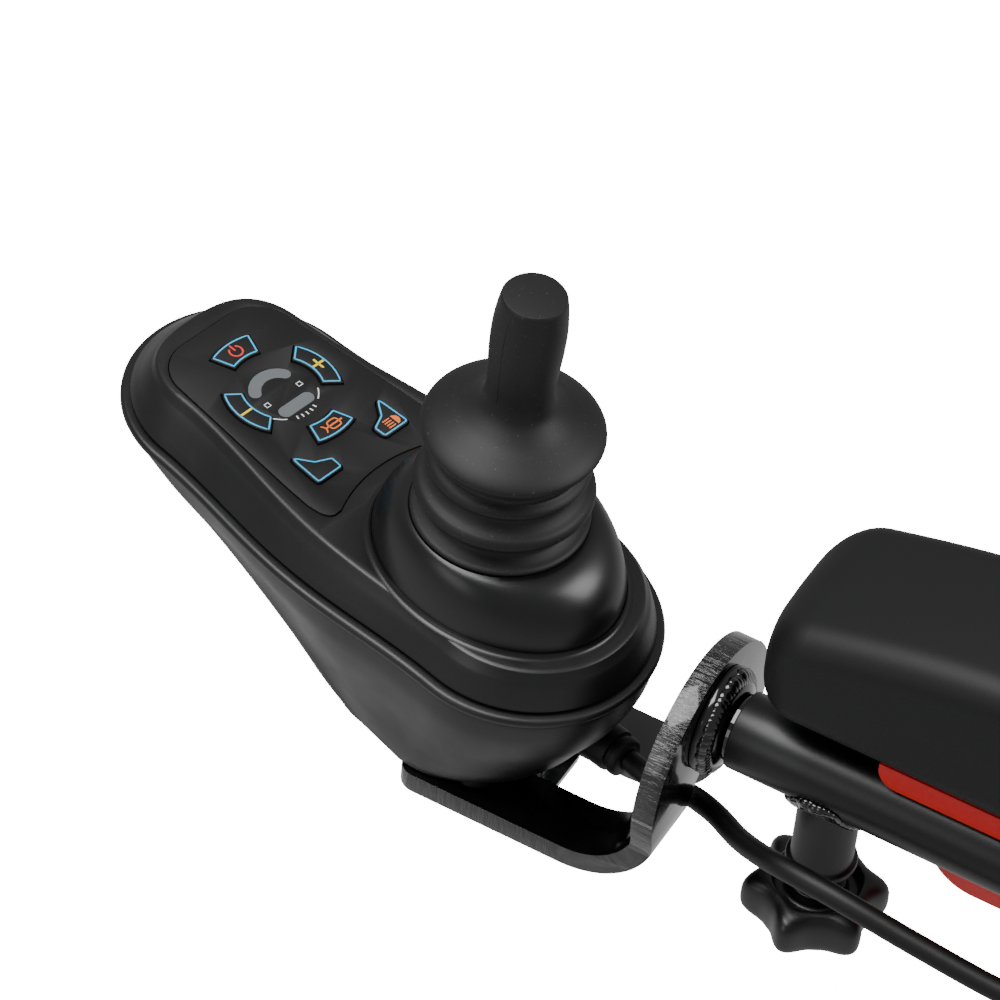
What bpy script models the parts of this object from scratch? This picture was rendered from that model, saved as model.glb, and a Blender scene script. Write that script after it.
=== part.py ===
"""Joystick control and armrest assembly of a power wheelchair, in metres, +Z up.

The origin is the centre of the steel plate's face that bolts to the side of the chair's back post.
+Y is forward, the way the chair drives, and +X is the user's right.
Most pieces are laid out in the arm frame, whose Y axis is the arm tube's axis and whose
origin is the tube's front end. The control unit has a frame of its own, turned on its bracket,
with its origin on the joystick's axis at the height of the arm tube's axis.
"""
import math

import bmesh
import bpy
from mathutils import Matrix, Vector

MM = 0.001
GAP = 0.3                     # left between pieces that touch

# ---- driving dimensions, in millimetres -------------------------------------------------------
# Frame plate and pivot
PLATE_FACE_X = -19.0          # the face that meets the chair's back post, in the arm frame
PLATE_THICK = 5.0
PLATE_LENGTH = 84.0
PLATE_HEIGHT = 56.0
PLATE_HOLE_SPACING = 36.0
PLATE_HOLE_RADIUS = 3.3
MOUNT_TO_PIVOT = 40.0
PIVOT_RADIUS = 4.0
STOP_RADIUS = 4.0
STOP_AHEAD = 22.0             # from the pivot's axis forward

# Arm tube, pad and side guard
TUBE_RADIUS = 11.0
TUBE_WALL = 1.5
TUBE_LENGTH = 282.0
TUBE_END_TO_PIVOT = 18.0
PAD_FRONT = 4.0               # behind the tube's front end
PAD_LENGTH = 248.0
PAD_WIDTH = 55.0
PAD_INNER_X = -12.0
PAD_FRONT_HEIGHT = 31.5
PAD_REAR_HEIGHT = 48.5
PAD_RISE_LENGTH = 84.0
PAD_CORNER = 13.0
GUARD_FRONT = 42.0
GUARD_REAR = 236.0
GUARD_SHELF = 7.4             # thick, on top of the tube
GUARD_INNER_X = -7.0
GUARD_SKIRT_X = 14.0
GUARD_SKIRT_THICK = 4.0
GUARD_SKIRT_BOTTOM = -39.0
GUARD_SKIRT_BACK = 10.0       # the skirt's front edge behind the shelf's
GUARD_CORNER = 15.0

# Clamp
CLAMP_BEHIND = 28.0           # the clamp's axis, behind the tube's front end
BOSS_RADIUS = 8.6
BOSS_BOTTOM = -35.0
STUD_RADIUS = 4.0
SHOE_RADIUS = 2.6
KNOB_RADIUS = 17.9
KNOB_LOBE = 1.8
KNOB_TOP = -42.5
KNOB_HEIGHT = 14.0

# Bracket
BRACKET_THICK = 6.4
BRACKET_WIDTH = 55.4
BRACKET_AHEAD = 8.0           # its rear face, ahead of the tube's front end
BRACKET_REACH = 80.0          # from the rear face to the front end
BRACKET_DROP = 43.5           # its upper face below the tube's axis
BRACKET_BEND = 22.0           # inner radius
BRACKET_HEAD_RADIUS = 32.5
BRACKET_HEAD_Z = -14.0
SLOT_WIDTH = 18.0
SLOT_FRONT = 78.0
SLOT_TOP = -16.0
STUB_RADIUS = 9.2
STUB_BORE = 5.5
STUB_LENGTH = 118.0
GROOVE_WIDTH = 6.0
GROOVE_DEPTH = 2.0
SLIDE_TRAVEL = 60.0

# Control unit: its own frame starts at the centre of the rear curve of its rim
UNIT_YAW = 13.5               # degrees, its nose to the user's right
UNIT_TILT = 3.0               # degrees, its upper half nose up
UNIT_X = -1.3
UNIT_Y = 65.8
RIM_REAR_RADIUS = 37.7
RIM_FRONT_RADIUS = 34.8
RIM_LENGTH = 106.0            # between the centres of the two curves
SIDE_BULGE = 3.6
RIM_Z = 5.0                   # the middle of the rim band
BAND_HEIGHT = 3.0
TOP_RISE = 13.8               # from the rim to the flat top
TOP_WALL = 3.8                # of the flat top, with the keypad's seat let into it
SHELL_WALL = 2.4
STICK_Y = 14.2                # the joystick's axis
DOME_HALF_WIDTH = 30.0
DOME_HALF_LENGTH = 38.0
DOME_Y = 12.2
DOME_RISE = 32.2              # from the rim to the dome's mouth
BOOT_RADIUS = 24.2
PANEL_THICK = 2.2
BUTTON_GAP = 0.35
BUTTON_PROUD = 0.9
BUTTON_DEPTH = 4.2
BOARD_THICK = 1.6
BOARD_DROP = 7.8              # its upper face under the flat top

# Joystick
PIVOT_Z = 14.0
STICK_RADIUS = 3.5
STICK_TOP = 103.0
GRIP_TOP = 118.0
SKIRT_RADIUS = 24.6
SKIRT_Z = 69.0
HOUSING_RADIUS = 21.5
HOUSING_BORE = 18.8

# Cable
CABLE_RADIUS = 3.15
GLAND_Z = -32.0
GLAND_SIDE = 9.5
GLAND_RADIUS = 6.4
GLAND_TIP = -33.0             # in the unit's frame
GLAND_LENGTH = 19.0
CONNECTOR_RADIUS = 7.5
CONNECTOR_FRONT = 214.0
CONNECTOR_LENGTH = 40.0

SHIFT = Vector((-PLATE_FACE_X, TUBE_LENGTH + TUBE_END_TO_PIVOT + MOUNT_TO_PIVOT, 0.0))


# ---- scene and materials ------------------------------------------------------------------------
def clear_scene():
    for obj in list(bpy.data.objects):
        bpy.data.objects.remove(obj, do_unlink=True)


def make_collection(name):
    collection = bpy.data.collections.new(name)
    bpy.context.scene.collection.children.link(collection)
    return collection


def make_material(name, colour, roughness, metallic=0.0, alpha=1.0):
    material = bpy.data.materials.new(name)
    material.use_nodes = True
    shader = material.node_tree.nodes["Principled BSDF"]
    shader.inputs["Base Color"].default_value = (*colour, 1.0)
    shader.inputs["Roughness"].default_value = roughness
    shader.inputs["Metallic"].default_value = metallic
    shader.inputs["Alpha"].default_value = alpha
    return material


clear_scene()
PARTS = make_collection("wheelchair_joystick_armrest")
CUTTERS = make_collection("cutters")

MAT = {
    "black_abs": make_material("black_abs", (0.018, 0.018, 0.019), 0.42),
    "black_rubber": make_material("black_rubber", (0.012, 0.012, 0.012), 0.7),
    "keypad_skin": make_material("keypad_skin", (0.01, 0.01, 0.011), 0.6),
    "window": make_material("window", (0.12, 0.13, 0.13), 0.4, 0.0, 0.6),
    "enamel": make_material("enamel", (0.008, 0.008, 0.008), 0.12),
    "satin_coat": make_material("satin_coat", (0.014, 0.014, 0.014), 0.35),
    "pad_foam": make_material("pad_foam", (0.016, 0.016, 0.016), 0.6),
    "red_plastic": make_material("red_plastic", (0.55, 0.01, 0.008), 0.35),
    "nylon": make_material("nylon", (0.015, 0.015, 0.015), 0.45),
    "zinc_steel": make_material("zinc_steel", (0.55, 0.56, 0.57), 0.3, 1.0),
    "brass": make_material("brass", (0.6, 0.42, 0.15), 0.3, 1.0),
    "board_green": make_material("board_green", (0.02, 0.16, 0.06), 0.5),
    "cable_pvc": make_material("cable_pvc", (0.012, 0.012, 0.012), 0.45),
}


# ---- frames ---------------------------------------------------------------------------------------
def empty(name, location, yaw=0.0, tilt=0.0, parent=None):
    frame = bpy.data.objects.new(name, None)
    frame.location = Vector(location) * MM
    frame.rotation_euler = (math.radians(tilt), 0.0, math.radians(-yaw))
    frame.parent = parent
    PARTS.objects.link(frame)
    return frame


ARM = empty("arm_frame", SHIFT)
UNIT = empty("unit_frame", (UNIT_X, UNIT_Y, 0.0), yaw=UNIT_YAW, parent=ARM)
TOP = empty("top_frame", (0.0, 0.0, RIM_Z), tilt=UNIT_TILT, parent=UNIT)
STICK = empty("stick_frame", (0.0, STICK_Y, -RIM_Z), parent=TOP)


# ---- shape helpers ----------------------------------------------------------------------------------
def add_object(name, mesh, material, frame, location=(0, 0, 0), rotation=(0, 0, 0), smooth=True):
    obj = bpy.data.objects.new(name, mesh)
    is_cutter = material is None
    (CUTTERS if is_cutter else PARTS).objects.link(obj)
    if is_cutter:
        obj.hide_render = True
        obj.display_type = "WIRE"
    else:
        mesh.materials.append(MAT[material])
    if smooth and isinstance(mesh, bpy.types.Mesh):
        mesh.shade_smooth()
        mesh.set_sharp_from_angle(angle=math.radians(35))
    obj.parent = frame
    obj.location = Vector(location) * MM
    obj.rotation_euler = tuple(math.radians(angle) for angle in rotation)
    return obj


def finish_bmesh(bm, name):
    bmesh.ops.recalc_face_normals(bm, faces=bm.faces)
    mesh = bpy.data.meshes.new(name)
    bm.to_mesh(mesh)
    bm.free()
    return mesh


def box(name, low, high, material, frame, rotation=(0, 0, 0)):
    centre = (Vector(low) + Vector(high)) / 2
    size = Vector(high) - Vector(low)
    bm = bmesh.new()
    bmesh.ops.create_cube(bm, size=1.0, matrix=Matrix.Diagonal((*(size * MM), 1.0)))
    return add_object(name, finish_bmesh(bm, name), material, frame, centre, rotation)


def cylinder(name, radius, low, high, material, frame, at=(0, 0), axis="Z", sides=32, parts=None):
    """A round bar from low to high along an axis of its frame, at the other two coordinates."""
    bm = bmesh.new()
    places = parts or [at]
    turn = {"Z": Matrix(), "X": Matrix.Rotation(math.pi / 2, 4, "Y"),
            "Y": Matrix.Rotation(-math.pi / 2, 4, "X")}[axis]
    for u, v in places:
        middle = (low + high) / 2
        centre = {"Z": (u, v, middle), "X": (middle, u, v), "Y": (u, middle, v)}[axis]
        bmesh.ops.create_cone(bm, cap_ends=True, segments=sides, radius1=radius * MM, radius2=radius * MM,
                              depth=(high - low) * MM,
                              matrix=Matrix.Translation(Vector(centre) * MM) @ turn)
    return add_object(name, finish_bmesh(bm, name), material, frame)


def turned(name, profile, material, frame, location=(0, 0, 0), rotation=(0, 0, 0), steps=36):
    """A closed (radius, height) outline turned about Z; it runs down the outer side first."""
    bm = bmesh.new()
    verts = [bm.verts.new((r * MM, 0.0, z * MM)) for r, z in profile]
    for first, second in zip(verts, verts[1:]):
        bm.edges.new((first, second))
    on_axis = profile[0][0] == 0 and profile[-1][0] == 0
    if not on_axis:
        bm.edges.new((verts[-1], verts[0]))
    mesh = bpy.data.meshes.new(name)
    bm.to_mesh(mesh)
    bm.free()
    obj = add_object(name, mesh, material, frame, location, rotation, smooth=False)
    screw = obj.modifiers.new("turn", "SCREW")
    screw.steps = steps
    screw.render_steps = steps
    screw.use_merge_vertices = True
    screw.merge_threshold = 0.00001
    screw.use_smooth_shade = True
    return obj


def loft(name, rings, material, frame, close_ring=False):
    """A skin over rings of equally many points; it is capped at both ends, or closed on itself."""
    bm = bmesh.new()
    loops = [[bm.verts.new(Vector(point) * MM) for point in ring] for ring in rings]
    pairs = list(zip(loops, loops[1:]))
    if close_ring:
        pairs.append((loops[-1], loops[0]))
    for first, second in pairs:
        for i, vert in enumerate(first):
            j = (i + 1) % len(first)
            bm.faces.new((vert, first[j], second[j], second[i]))
    if not close_ring:
        bm.faces.new(loops[0])
        bm.faces.new(loops[-1])
    return add_object(name, finish_bmesh(bm, name), material, frame)


def prism(name, outline, low, high, material, frame, axis="Z"):
    """An outline of (u, v) points drawn across an axis and extended along it."""
    def at(u, v, w):
        return {"Z": (u, v, w), "X": (w, u, v), "Y": (u, w, v)}[axis]
    rings = [[at(u, v, low) for u, v in outline], [at(u, v, high) for u, v in outline]]
    return loft(name, rings, material, frame)


def cut(target, cutter, operation="DIFFERENCE"):
    boolean = target.modifiers.new(cutter.name, "BOOLEAN")
    boolean.operation = operation
    boolean.solver = "EXACT"
    boolean.object = cutter
    return target


def arc(cx, cy, radius, start, end, count):
    """Points on an arc, angles in degrees, both ends included."""
    step = (end - start) / (count - 1)
    return [(cx + radius * math.cos(math.radians(start + step * i)),
             cy + radius * math.sin(math.radians(start + step * i))) for i in range(count)]


def rounded_polygon(corners, radius, count=5):
    """A convex polygon, given anticlockwise, with every corner rounded."""
    points = []
    total = len(corners)
    for i, corner in enumerate(corners):
        here = Vector(corner)
        before = (Vector(corners[i - 1]) - here).normalized()
        after = (Vector(corners[(i + 1) % total]) - here).normalized()
        half = before.angle(after) / 2
        back = radius / math.tan(half)
        start = here + before * back
        finish = here + after * back
        for k in range(count):
            t = k / (count - 1)
            bulge = here * (2 * t * (1 - t)) + start * (1 - t) ** 2 + finish * t ** 2
            points.append(tuple(bulge))
    return points


def capsule(rear, front, length, start=0.0, bulge=0.0, inset=0.0, nose=0.0, square=0.0):
    """The control unit's plan: a curve at the rear, one at the nose, and bowed sides.

    nose is how much more the nose is inset than the rear, and square fills out the nose's corners."""
    rear, front = rear - inset, front - inset - nose
    side = []
    for k in range(1, 7):
        t = k / 7
        side.append((rear + (front - rear) * t + bulge * math.sin(math.pi * t) ** 2, start + length * t))
    mirrored = [(-x, y) for x, y in reversed(side)]
    tip = []
    for k in range(13):
        angle = math.pi * k / 12
        reach = front + square * math.sin(2 * angle) ** 2
        tip.append((reach * math.cos(angle), start + length + reach * math.sin(angle)))
    return arc(0.0, start, rear, 180, 360, 13) + side + tip + mirrored


def smooth_route(points, spacing):
    """Points at an even spacing on one smooth curve through a route's own points."""
    knots = [Vector(p) for p in points]
    ends = [knots[0] * 2 - knots[1]] + knots + [knots[-1] * 2 - knots[-2]]
    fine = []
    for p0, p1, p2, p3 in zip(ends, ends[1:], ends[2:], ends[3:]):
        for k in range(24):
            t = k / 24
            fine.append(0.5 * ((2 * p1) + (p2 - p0) * t + (2 * p0 - 5 * p1 + 4 * p2 - p3) * t ** 2
                               + (3 * p1 - p0 - 3 * p2 + p3) * t ** 3))
    fine.append(knots[-1])
    lengths = [0.0]
    for first, second in zip(fine, fine[1:]):
        lengths.append(lengths[-1] + (second - first).length)
    count = max(2, round(lengths[-1] / spacing))
    route = []
    index = 0
    for i in range(count + 1):
        goal = lengths[-1] * i / count
        while index < len(lengths) - 2 and lengths[index + 1] < goal:
            index += 1
        span = lengths[index + 1] - lengths[index]
        route.append(fine[index].lerp(fine[index + 1], (goal - lengths[index]) / span))
    return route


def wire(name, points, radius, material, frame, resolution=2):
    """A round bar along points, as a curve with a bevel and filled caps."""
    curve = bpy.data.curves.new(name, "CURVE")
    curve.dimensions = "3D"
    spline = curve.splines.new("POLY")
    spline.points.add(len(points) - 1)
    for target, point in zip(spline.points, points):
        target.co = (*(Vector(point) * MM), 1.0)
    curve.bevel_depth = radius * MM
    curve.bevel_resolution = resolution
    curve.use_fill_caps = True
    return add_object(name, curve, material, frame)


# ---- frame plate: the fixed end ----------------------------------------------------------------------
PIVOT_Y = -(TUBE_LENGTH + TUBE_END_TO_PIVOT)
MOUNT_Y = PIVOT_Y - MOUNT_TO_PIVOT
PLATE_INNER_X = PLATE_FACE_X + PLATE_THICK
PLATE_REAR_Y = PIVOT_Y + 22.0 - PLATE_LENGTH
BLOCK_HALF = 9.0
SLEEVE_RADIUS = STOP_RADIUS + GAP + 1.6
STOP_Z = -(TUBE_RADIUS + GAP + SLEEVE_RADIUS)
NUT_LOW = BLOCK_HALF + GAP


def ring(outer, inner, low, high):
    """The outline of a plain ring for turned()."""
    return [(outer, high), (outer, low), (inner, low), (inner, high)]


def make_frame_plate():
    front = PIVOT_Y + 30.0
    top = PLATE_HEIGHT / 2
    outline = rounded_polygon([(PLATE_REAR_Y, -top), (front, -top), (front, 12.0), (PIVOT_Y + 8.0, top),
                               (PLATE_REAR_Y, top)], 6.0)
    plate = prism("frame_plate", outline, PLATE_FACE_X, PLATE_INNER_X, "satin_coat", ARM, axis="X")
    half = PLATE_HOLE_SPACING / 2
    cut(plate, cylinder("cut_plate_holes", PLATE_HOLE_RADIUS, PLATE_FACE_X - 2, PLATE_INNER_X + 2, None, ARM,
                        axis="X", sides=32, parts=[(MOUNT_Y, -half), (MOUNT_Y, half)]))
    cut(plate, cylinder("cut_plate_pivot", PIVOT_RADIUS + GAP, PLATE_FACE_X + 1.2, PLATE_INNER_X + 2, None,
                        ARM, axis="X", sides=28, parts=[(PIVOT_Y, 0.0)]))
    cut(plate, cylinder("cut_plate_stop", STOP_RADIUS + GAP, PLATE_FACE_X + 1.2, PLATE_INNER_X + 2, None,
                        ARM, axis="X", sides=28, parts=[(PIVOT_Y + STOP_AHEAD, STOP_Z)]))


def make_pivot():
    cylinder("pivot_pin", PIVOT_RADIUS, PLATE_FACE_X + 1.5, NUT_LOW + 10.0, "zinc_steel", ARM,
             at=(PIVOT_Y, 0.0), axis="X", sides=28)
    spacer = -BLOCK_HALF - PLATE_INNER_X - 2 * GAP
    turned("pivot_spacer", ring(8.0, PIVOT_RADIUS + GAP, -spacer / 2, spacer / 2), "nylon", ARM,
           (PLATE_INNER_X + GAP + spacer / 2, PIVOT_Y, 0.0), (0, 90, 0), 28)
    nut = prism("pivot_nut", arc(PIVOT_Y, 0.0, 7.5, 0, 300, 6), NUT_LOW, NUT_LOW + 8.0, "zinc_steel", ARM,
                axis="X")
    cut(nut, cylinder("cut_pivot_nut", PIVOT_RADIUS + GAP, NUT_LOW - 2, NUT_LOW + 10, None, ARM,
                      at=(PIVOT_Y, 0.0), axis="X", sides=28))
    cylinder("stop_pin", STOP_RADIUS, PLATE_FACE_X + 1.5, 8.0, "zinc_steel", ARM,
             at=(PIVOT_Y + STOP_AHEAD, STOP_Z), axis="X", sides=28)
    turned("stop_sleeve", ring(SLEEVE_RADIUS, STOP_RADIUS + GAP, -10.0, 10.0), "black_rubber",
           ARM, (-2.8, PIVOT_Y + STOP_AHEAD, STOP_Z), (0, 90, 0), 28)


# ---- arm tube ------------------------------------------------------------------------------------------
BLOCK_SPIGOT = 30.0
ROLLPIN_RADIUS = 2.0
ROLLPIN_Y = -(TUBE_LENGTH - 15.0)
GUARD_SCREW_RADIUS = 2.0
GUARD_SCREW_Y = (-(GUARD_FRONT + 93.0), -(GUARD_REAR - 16.0))


def make_tube():
    bore = TUBE_RADIUS - TUBE_WALL
    half = TUBE_LENGTH / 2
    tube = turned("arm_tube", [(TUBE_RADIUS - 0.6, half), (TUBE_RADIUS, half - 0.6), (TUBE_RADIUS, -half),
                               (bore, -half), (bore, half)], "satin_coat", ARM,
                  (0.0, -half, 0.0), (-90, 0, 0), 32)
    cut(tube, cylinder("cut_tube_stud", STUD_RADIUS + 0.8, -TUBE_RADIUS - 4, 0.0, None, ARM,
                       at=(0.0, -CLAMP_BEHIND), sides=24))
    cut(tube, cylinder("cut_tube_screws", GUARD_SCREW_RADIUS + GAP, 4.0, TUBE_RADIUS + 4, None, ARM,
                       axis="X", sides=16, parts=[(y, 0.0) for y in GUARD_SCREW_Y]))
    cut(tube, cylinder("cut_tube_rollpin", ROLLPIN_RADIUS + GAP, -TUBE_RADIUS - 4, TUBE_RADIUS + 4, None,
                       ARM, at=(0.0, ROLLPIN_Y), sides=16))


def make_pivot_block():
    """A steel eye with a spigot in the tube's rear end, held by a cross pin."""
    block = cylinder("pivot_block", TUBE_RADIUS - TUBE_WALL - GAP, -TUBE_LENGTH - 3.0,
                     -TUBE_LENGTH + BLOCK_SPIGOT, "zinc_steel", ARM, axis="Y", sides=32)
    eye = arc(PIVOT_Y, 0.0, TUBE_RADIUS, 90, 270, 15)
    eye += [(-TUBE_LENGTH - GAP, -TUBE_RADIUS), (-TUBE_LENGTH - GAP, TUBE_RADIUS)]
    cut(block, prism("cut_block_eye", eye, -BLOCK_HALF, BLOCK_HALF, None, ARM, axis="X"), "UNION")
    cut(block, cylinder("cut_block_bore", PIVOT_RADIUS + GAP, -20, 20, None, ARM, at=(PIVOT_Y, 0.0),
                        axis="X", sides=28))
    cut(block, cylinder("cut_block_rollpin", ROLLPIN_RADIUS + GAP, -20, 20, None, ARM,
                        at=(0.0, ROLLPIN_Y), sides=16))
    cylinder("block_cross_pin", ROLLPIN_RADIUS, -TUBE_RADIUS - 0.6, TUBE_RADIUS + 0.6, "zinc_steel", ARM,
             at=(0.0, ROLLPIN_Y), sides=16)


# ---- pad and side guard ----------------------------------------------------------------------------------
GUARD_TOP = TUBE_RADIUS + GAP + GUARD_SHELF
GUARD_UNDER = GUARD_TOP - 4.0
GUARD_SKIRT_OUT = GUARD_SKIRT_X + GUARD_SKIRT_THICK
PAD_BOTTOM = GUARD_TOP + GAP
SCREW_RADIUS = 2.5
PAD_SCREWS = [(30.0, -(PAD_FRONT + 76.0)), (30.0, -(PAD_FRONT + 196.0))]


def pad_height(along):
    """The pad's thickness at a distance behind its front end: it climbs, then runs level."""
    t = min(1.0, max(0.0, along / PAD_RISE_LENGTH))
    return PAD_FRONT_HEIGHT + (PAD_REAR_HEIGHT - PAD_FRONT_HEIGHT) * (1.5 * t - 0.5 * t ** 3) * 0.97


def pad_section(along, inset, drop):
    """One cross-section: rounded below on the inner side, softly rounded above."""
    left = PAD_INNER_X + inset
    right = PAD_INNER_X + PAD_WIDTH - inset
    low = PAD_BOTTOM + 0.6 * drop
    high = PAD_BOTTOM + pad_height(along) - drop
    corners = [(left, low, 9.0, 180, 270), (right, low, 6.0, 270, 360), (right, high, 9.0, 0, 90),
               (left, high, 9.0, 90, 180)]
    points = []
    for x, z, radius, start, end in corners:
        radius = min(radius, (high - low) * 0.42)
        centre_x = x + radius if x == left else x - radius
        centre_z = z + radius if z == low else z - radius
        points += arc(centre_x, centre_z, radius, start, end, 4)
    return [(x, -PAD_FRONT - along, z) for x, z in points]


def make_pad():
    front = [(PAD_CORNER * (1 - math.cos(math.radians(18 * k))), PAD_CORNER * (1 - math.sin(math.radians(18 * k))))
             for k in range(6)]
    body = [(PAD_CORNER + (PAD_RISE_LENGTH - PAD_CORNER) * k / 5, 0.0) for k in range(1, 6)]
    rear = [(PAD_LENGTH - along, inset) for along, inset in reversed(front)]
    stations = front + body + rear
    pad = loft("arm_pad", [pad_section(along, inset, inset * 0.55) for along, inset in stations],
               "pad_foam", ARM)
    cut(pad, cylinder("cut_pad_screws", SCREW_RADIUS + GAP, 0, PAD_BOTTOM + 13, None, ARM, sides=16,
                      parts=PAD_SCREWS))


def make_guard():
    """The red moulding: a shelf under the pad and a skirt that hangs outside the tube."""
    back, front = -GUARD_REAR, -GUARD_FRONT
    inner_low = TUBE_RADIUS + GAP
    shelf = box("side_guard", (GUARD_INNER_X, back, GUARD_UNDER), (PAD_INNER_X + PAD_WIDTH - 3.0, front, GUARD_TOP),
                "red_plastic", ARM)
    lower = box("cut_guard_shelf", (GUARD_INNER_X, back, inner_low), (GUARD_SKIRT_OUT, front, GUARD_UNDER + 1.0),
                None, ARM)
    cut(shelf, lower, "UNION")
    edge = front - GUARD_SKIRT_BACK
    radius = GUARD_CORNER
    outline = [(back, GUARD_UNDER + 1.0), (back, GUARD_SKIRT_BOTTOM)]
    outline += arc(edge - radius, GUARD_SKIRT_BOTTOM + radius, radius, 270, 360, 9)
    outline += [(edge, 6.0)] + [(edge + GUARD_SKIRT_BACK * (1 - math.cos(math.radians(a))), 6.0 + 6.0 * math.sin(math.radians(a)))
                                for a in (30, 60, 90)] + [(front, GUARD_UNDER + 1.0)]
    skirt = prism("cut_guard_skirt", outline, GUARD_SKIRT_X, GUARD_SKIRT_OUT, None, ARM, axis="X")
    cut(shelf, skirt, "UNION")
    for index, y in enumerate(GUARD_SCREW_Y):
        boss = cylinder(f"cut_guard_boss_{index}", 6.0, TUBE_RADIUS - 2.0, GUARD_SKIRT_X + 1.0, None, ARM,
                        at=(y, 0.0), axis="X", sides=24)
        cut(shelf, boss, "UNION")
    cut(shelf, cylinder("cut_guard_tube", TUBE_RADIUS + GAP, back - 10, front + 20, None, ARM, axis="Y",
                        sides=32))
    nose = [(front + 10.0, inner_low - 5.0), (front + 10.0, GUARD_TOP - 1.0)]
    nose += [(front, GUARD_TOP - 1.0)] + arc(front - 5.5, inner_low + 5.5, 5.5, 0, -90, 6)
    nose += [(front - 5.5, inner_low - 5.0)]
    cut(shelf, prism("cut_guard_nose", nose, -30, GUARD_SKIRT_X - 1.0, None, ARM, axis="X"))
    cut(shelf, cylinder("cut_guard_screws", GUARD_SCREW_RADIUS + GAP, 0, 40, None, ARM, axis="X", sides=16,
                        parts=[(y, 0.0) for y in GUARD_SCREW_Y]))
    cut(shelf, cylinder("cut_guard_pad_screws", SCREW_RADIUS + GAP, 0, 40, None, ARM, sides=16,
                        parts=PAD_SCREWS))


def make_arm_screws():
    head = GUARD_UNDER - GAP
    for index, (x, y) in enumerate(PAD_SCREWS):
        screw = cylinder(f"pad_screw_{index + 1}", SCREW_RADIUS, head - 1.0, PAD_BOTTOM + 12.0, "zinc_steel",
                         ARM, at=(x, y), sides=16)
        cut(screw, cylinder(f"cut_pad_head_{index}", 4.6, head - 3.0, head, None, ARM, at=(x, y), sides=20),
            "UNION")
    side = GUARD_SKIRT_OUT + GAP
    for index, y in enumerate(GUARD_SCREW_Y):
        screw = cylinder(f"guard_screw_{index + 1}", GUARD_SCREW_RADIUS, 6.0, side + 1.0, "zinc_steel", ARM,
                         at=(y, 0.0), axis="X", sides=16)
        cut(screw, cylinder(f"cut_guard_head_{index}", 4.2, side, side + 2.4, None, ARM, at=(y, 0.0),
                            axis="X", sides=20), "UNION")


# ---- clamp ------------------------------------------------------------------------------------------
GROOVE_FLOOR = -(STUB_RADIUS - GROOVE_DEPTH)
SHOE_TOP = GROOVE_FLOOR - GAP
SHOE_BOTTOM = SHOE_TOP - 3.2
STUD_TOP = SHOE_BOTTOM - GAP


def make_clamp():
    place = (0.0, -CLAMP_BEHIND, 0.0)
    bore = STUD_RADIUS + GAP
    boss = turned("clamp_boss", [(BOSS_RADIUS, -4.0), (BOSS_RADIUS, BOSS_BOTTOM + 3.0),
                                 (BOSS_RADIUS + 1.2, BOSS_BOTTOM + 2.4), (BOSS_RADIUS + 1.2, BOSS_BOTTOM),
                                 (bore, BOSS_BOTTOM), (bore, -4.0)], "satin_coat", ARM, place, steps=32)
    tube_space = cylinder("cut_tube_space", TUBE_RADIUS + GAP, -60, 10, None, ARM, axis="Y", sides=32)
    cut(boss, tube_space)
    inner = BOSS_RADIUS + GAP
    weld = turned("boss_weld", [(inner + 3.6, -6.5), (inner + 3.6, -11.5), (inner + 2.4, -14.0),
                                (inner, -15.5), (inner, -6.5)], "satin_coat", ARM, place, steps=32)
    cut(weld, tube_space)
    at = (0.0, -CLAMP_BEHIND)
    cylinder("clamp_shoe", SHOE_RADIUS, SHOE_BOTTOM, SHOE_TOP, "brass", ARM, at=at, sides=20)
    cylinder("clamp_stud", STUD_RADIUS, KNOB_TOP - KNOB_HEIGHT + 3.0, STUD_TOP, "zinc_steel", ARM, at=at,
             sides=24)


def lobed_ring(z, shrink, count=36):
    points = []
    for i in range(count):
        angle = 2 * math.pi * i / count
        radius = (KNOB_RADIUS + KNOB_LOBE * math.cos(6 * angle)) * (1 - shrink / KNOB_RADIUS)
        points.append((radius * math.cos(angle), radius * math.sin(angle), z))
    return points


def make_knob():
    bottom = KNOB_TOP - KNOB_HEIGHT
    place = (0.0, -CLAMP_BEHIND, 0.0)
    rings = [lobed_ring(bottom, 4.0), lobed_ring(bottom + 1.6, 1.0), lobed_ring(bottom + 4.0, 0.0),
             lobed_ring(KNOB_TOP - 3.4, 0.0), lobed_ring(KNOB_TOP - 1.2, 1.0), lobed_ring(KNOB_TOP, 3.0)]
    knob = loft("clamp_knob", rings, "nylon", ARM)
    knob.location = Vector(place) * MM
    cut(knob, turned("cut_knob_recess", [(12.5, KNOB_TOP + 2), (11.0, KNOB_TOP - 3.0), (8.0, KNOB_TOP - 3.0),
                                         (7.0, KNOB_TOP + 2)], None, ARM, place))
    cut(knob, cylinder("cut_knob_bore", STUD_RADIUS + GAP, bottom + 2.6, KNOB_TOP + 5, None, ARM,
                       at=(0.0, -CLAMP_BEHIND), sides=24))


# ---- bracket ---------------------------------------------------------------------------------------
SLOT_HALF = SLOT_WIDTH / 2
BRACKET_UNDER = -BRACKET_DROP - BRACKET_THICK
BRACKET_TIP = BRACKET_AHEAD + BRACKET_REACH


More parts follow.
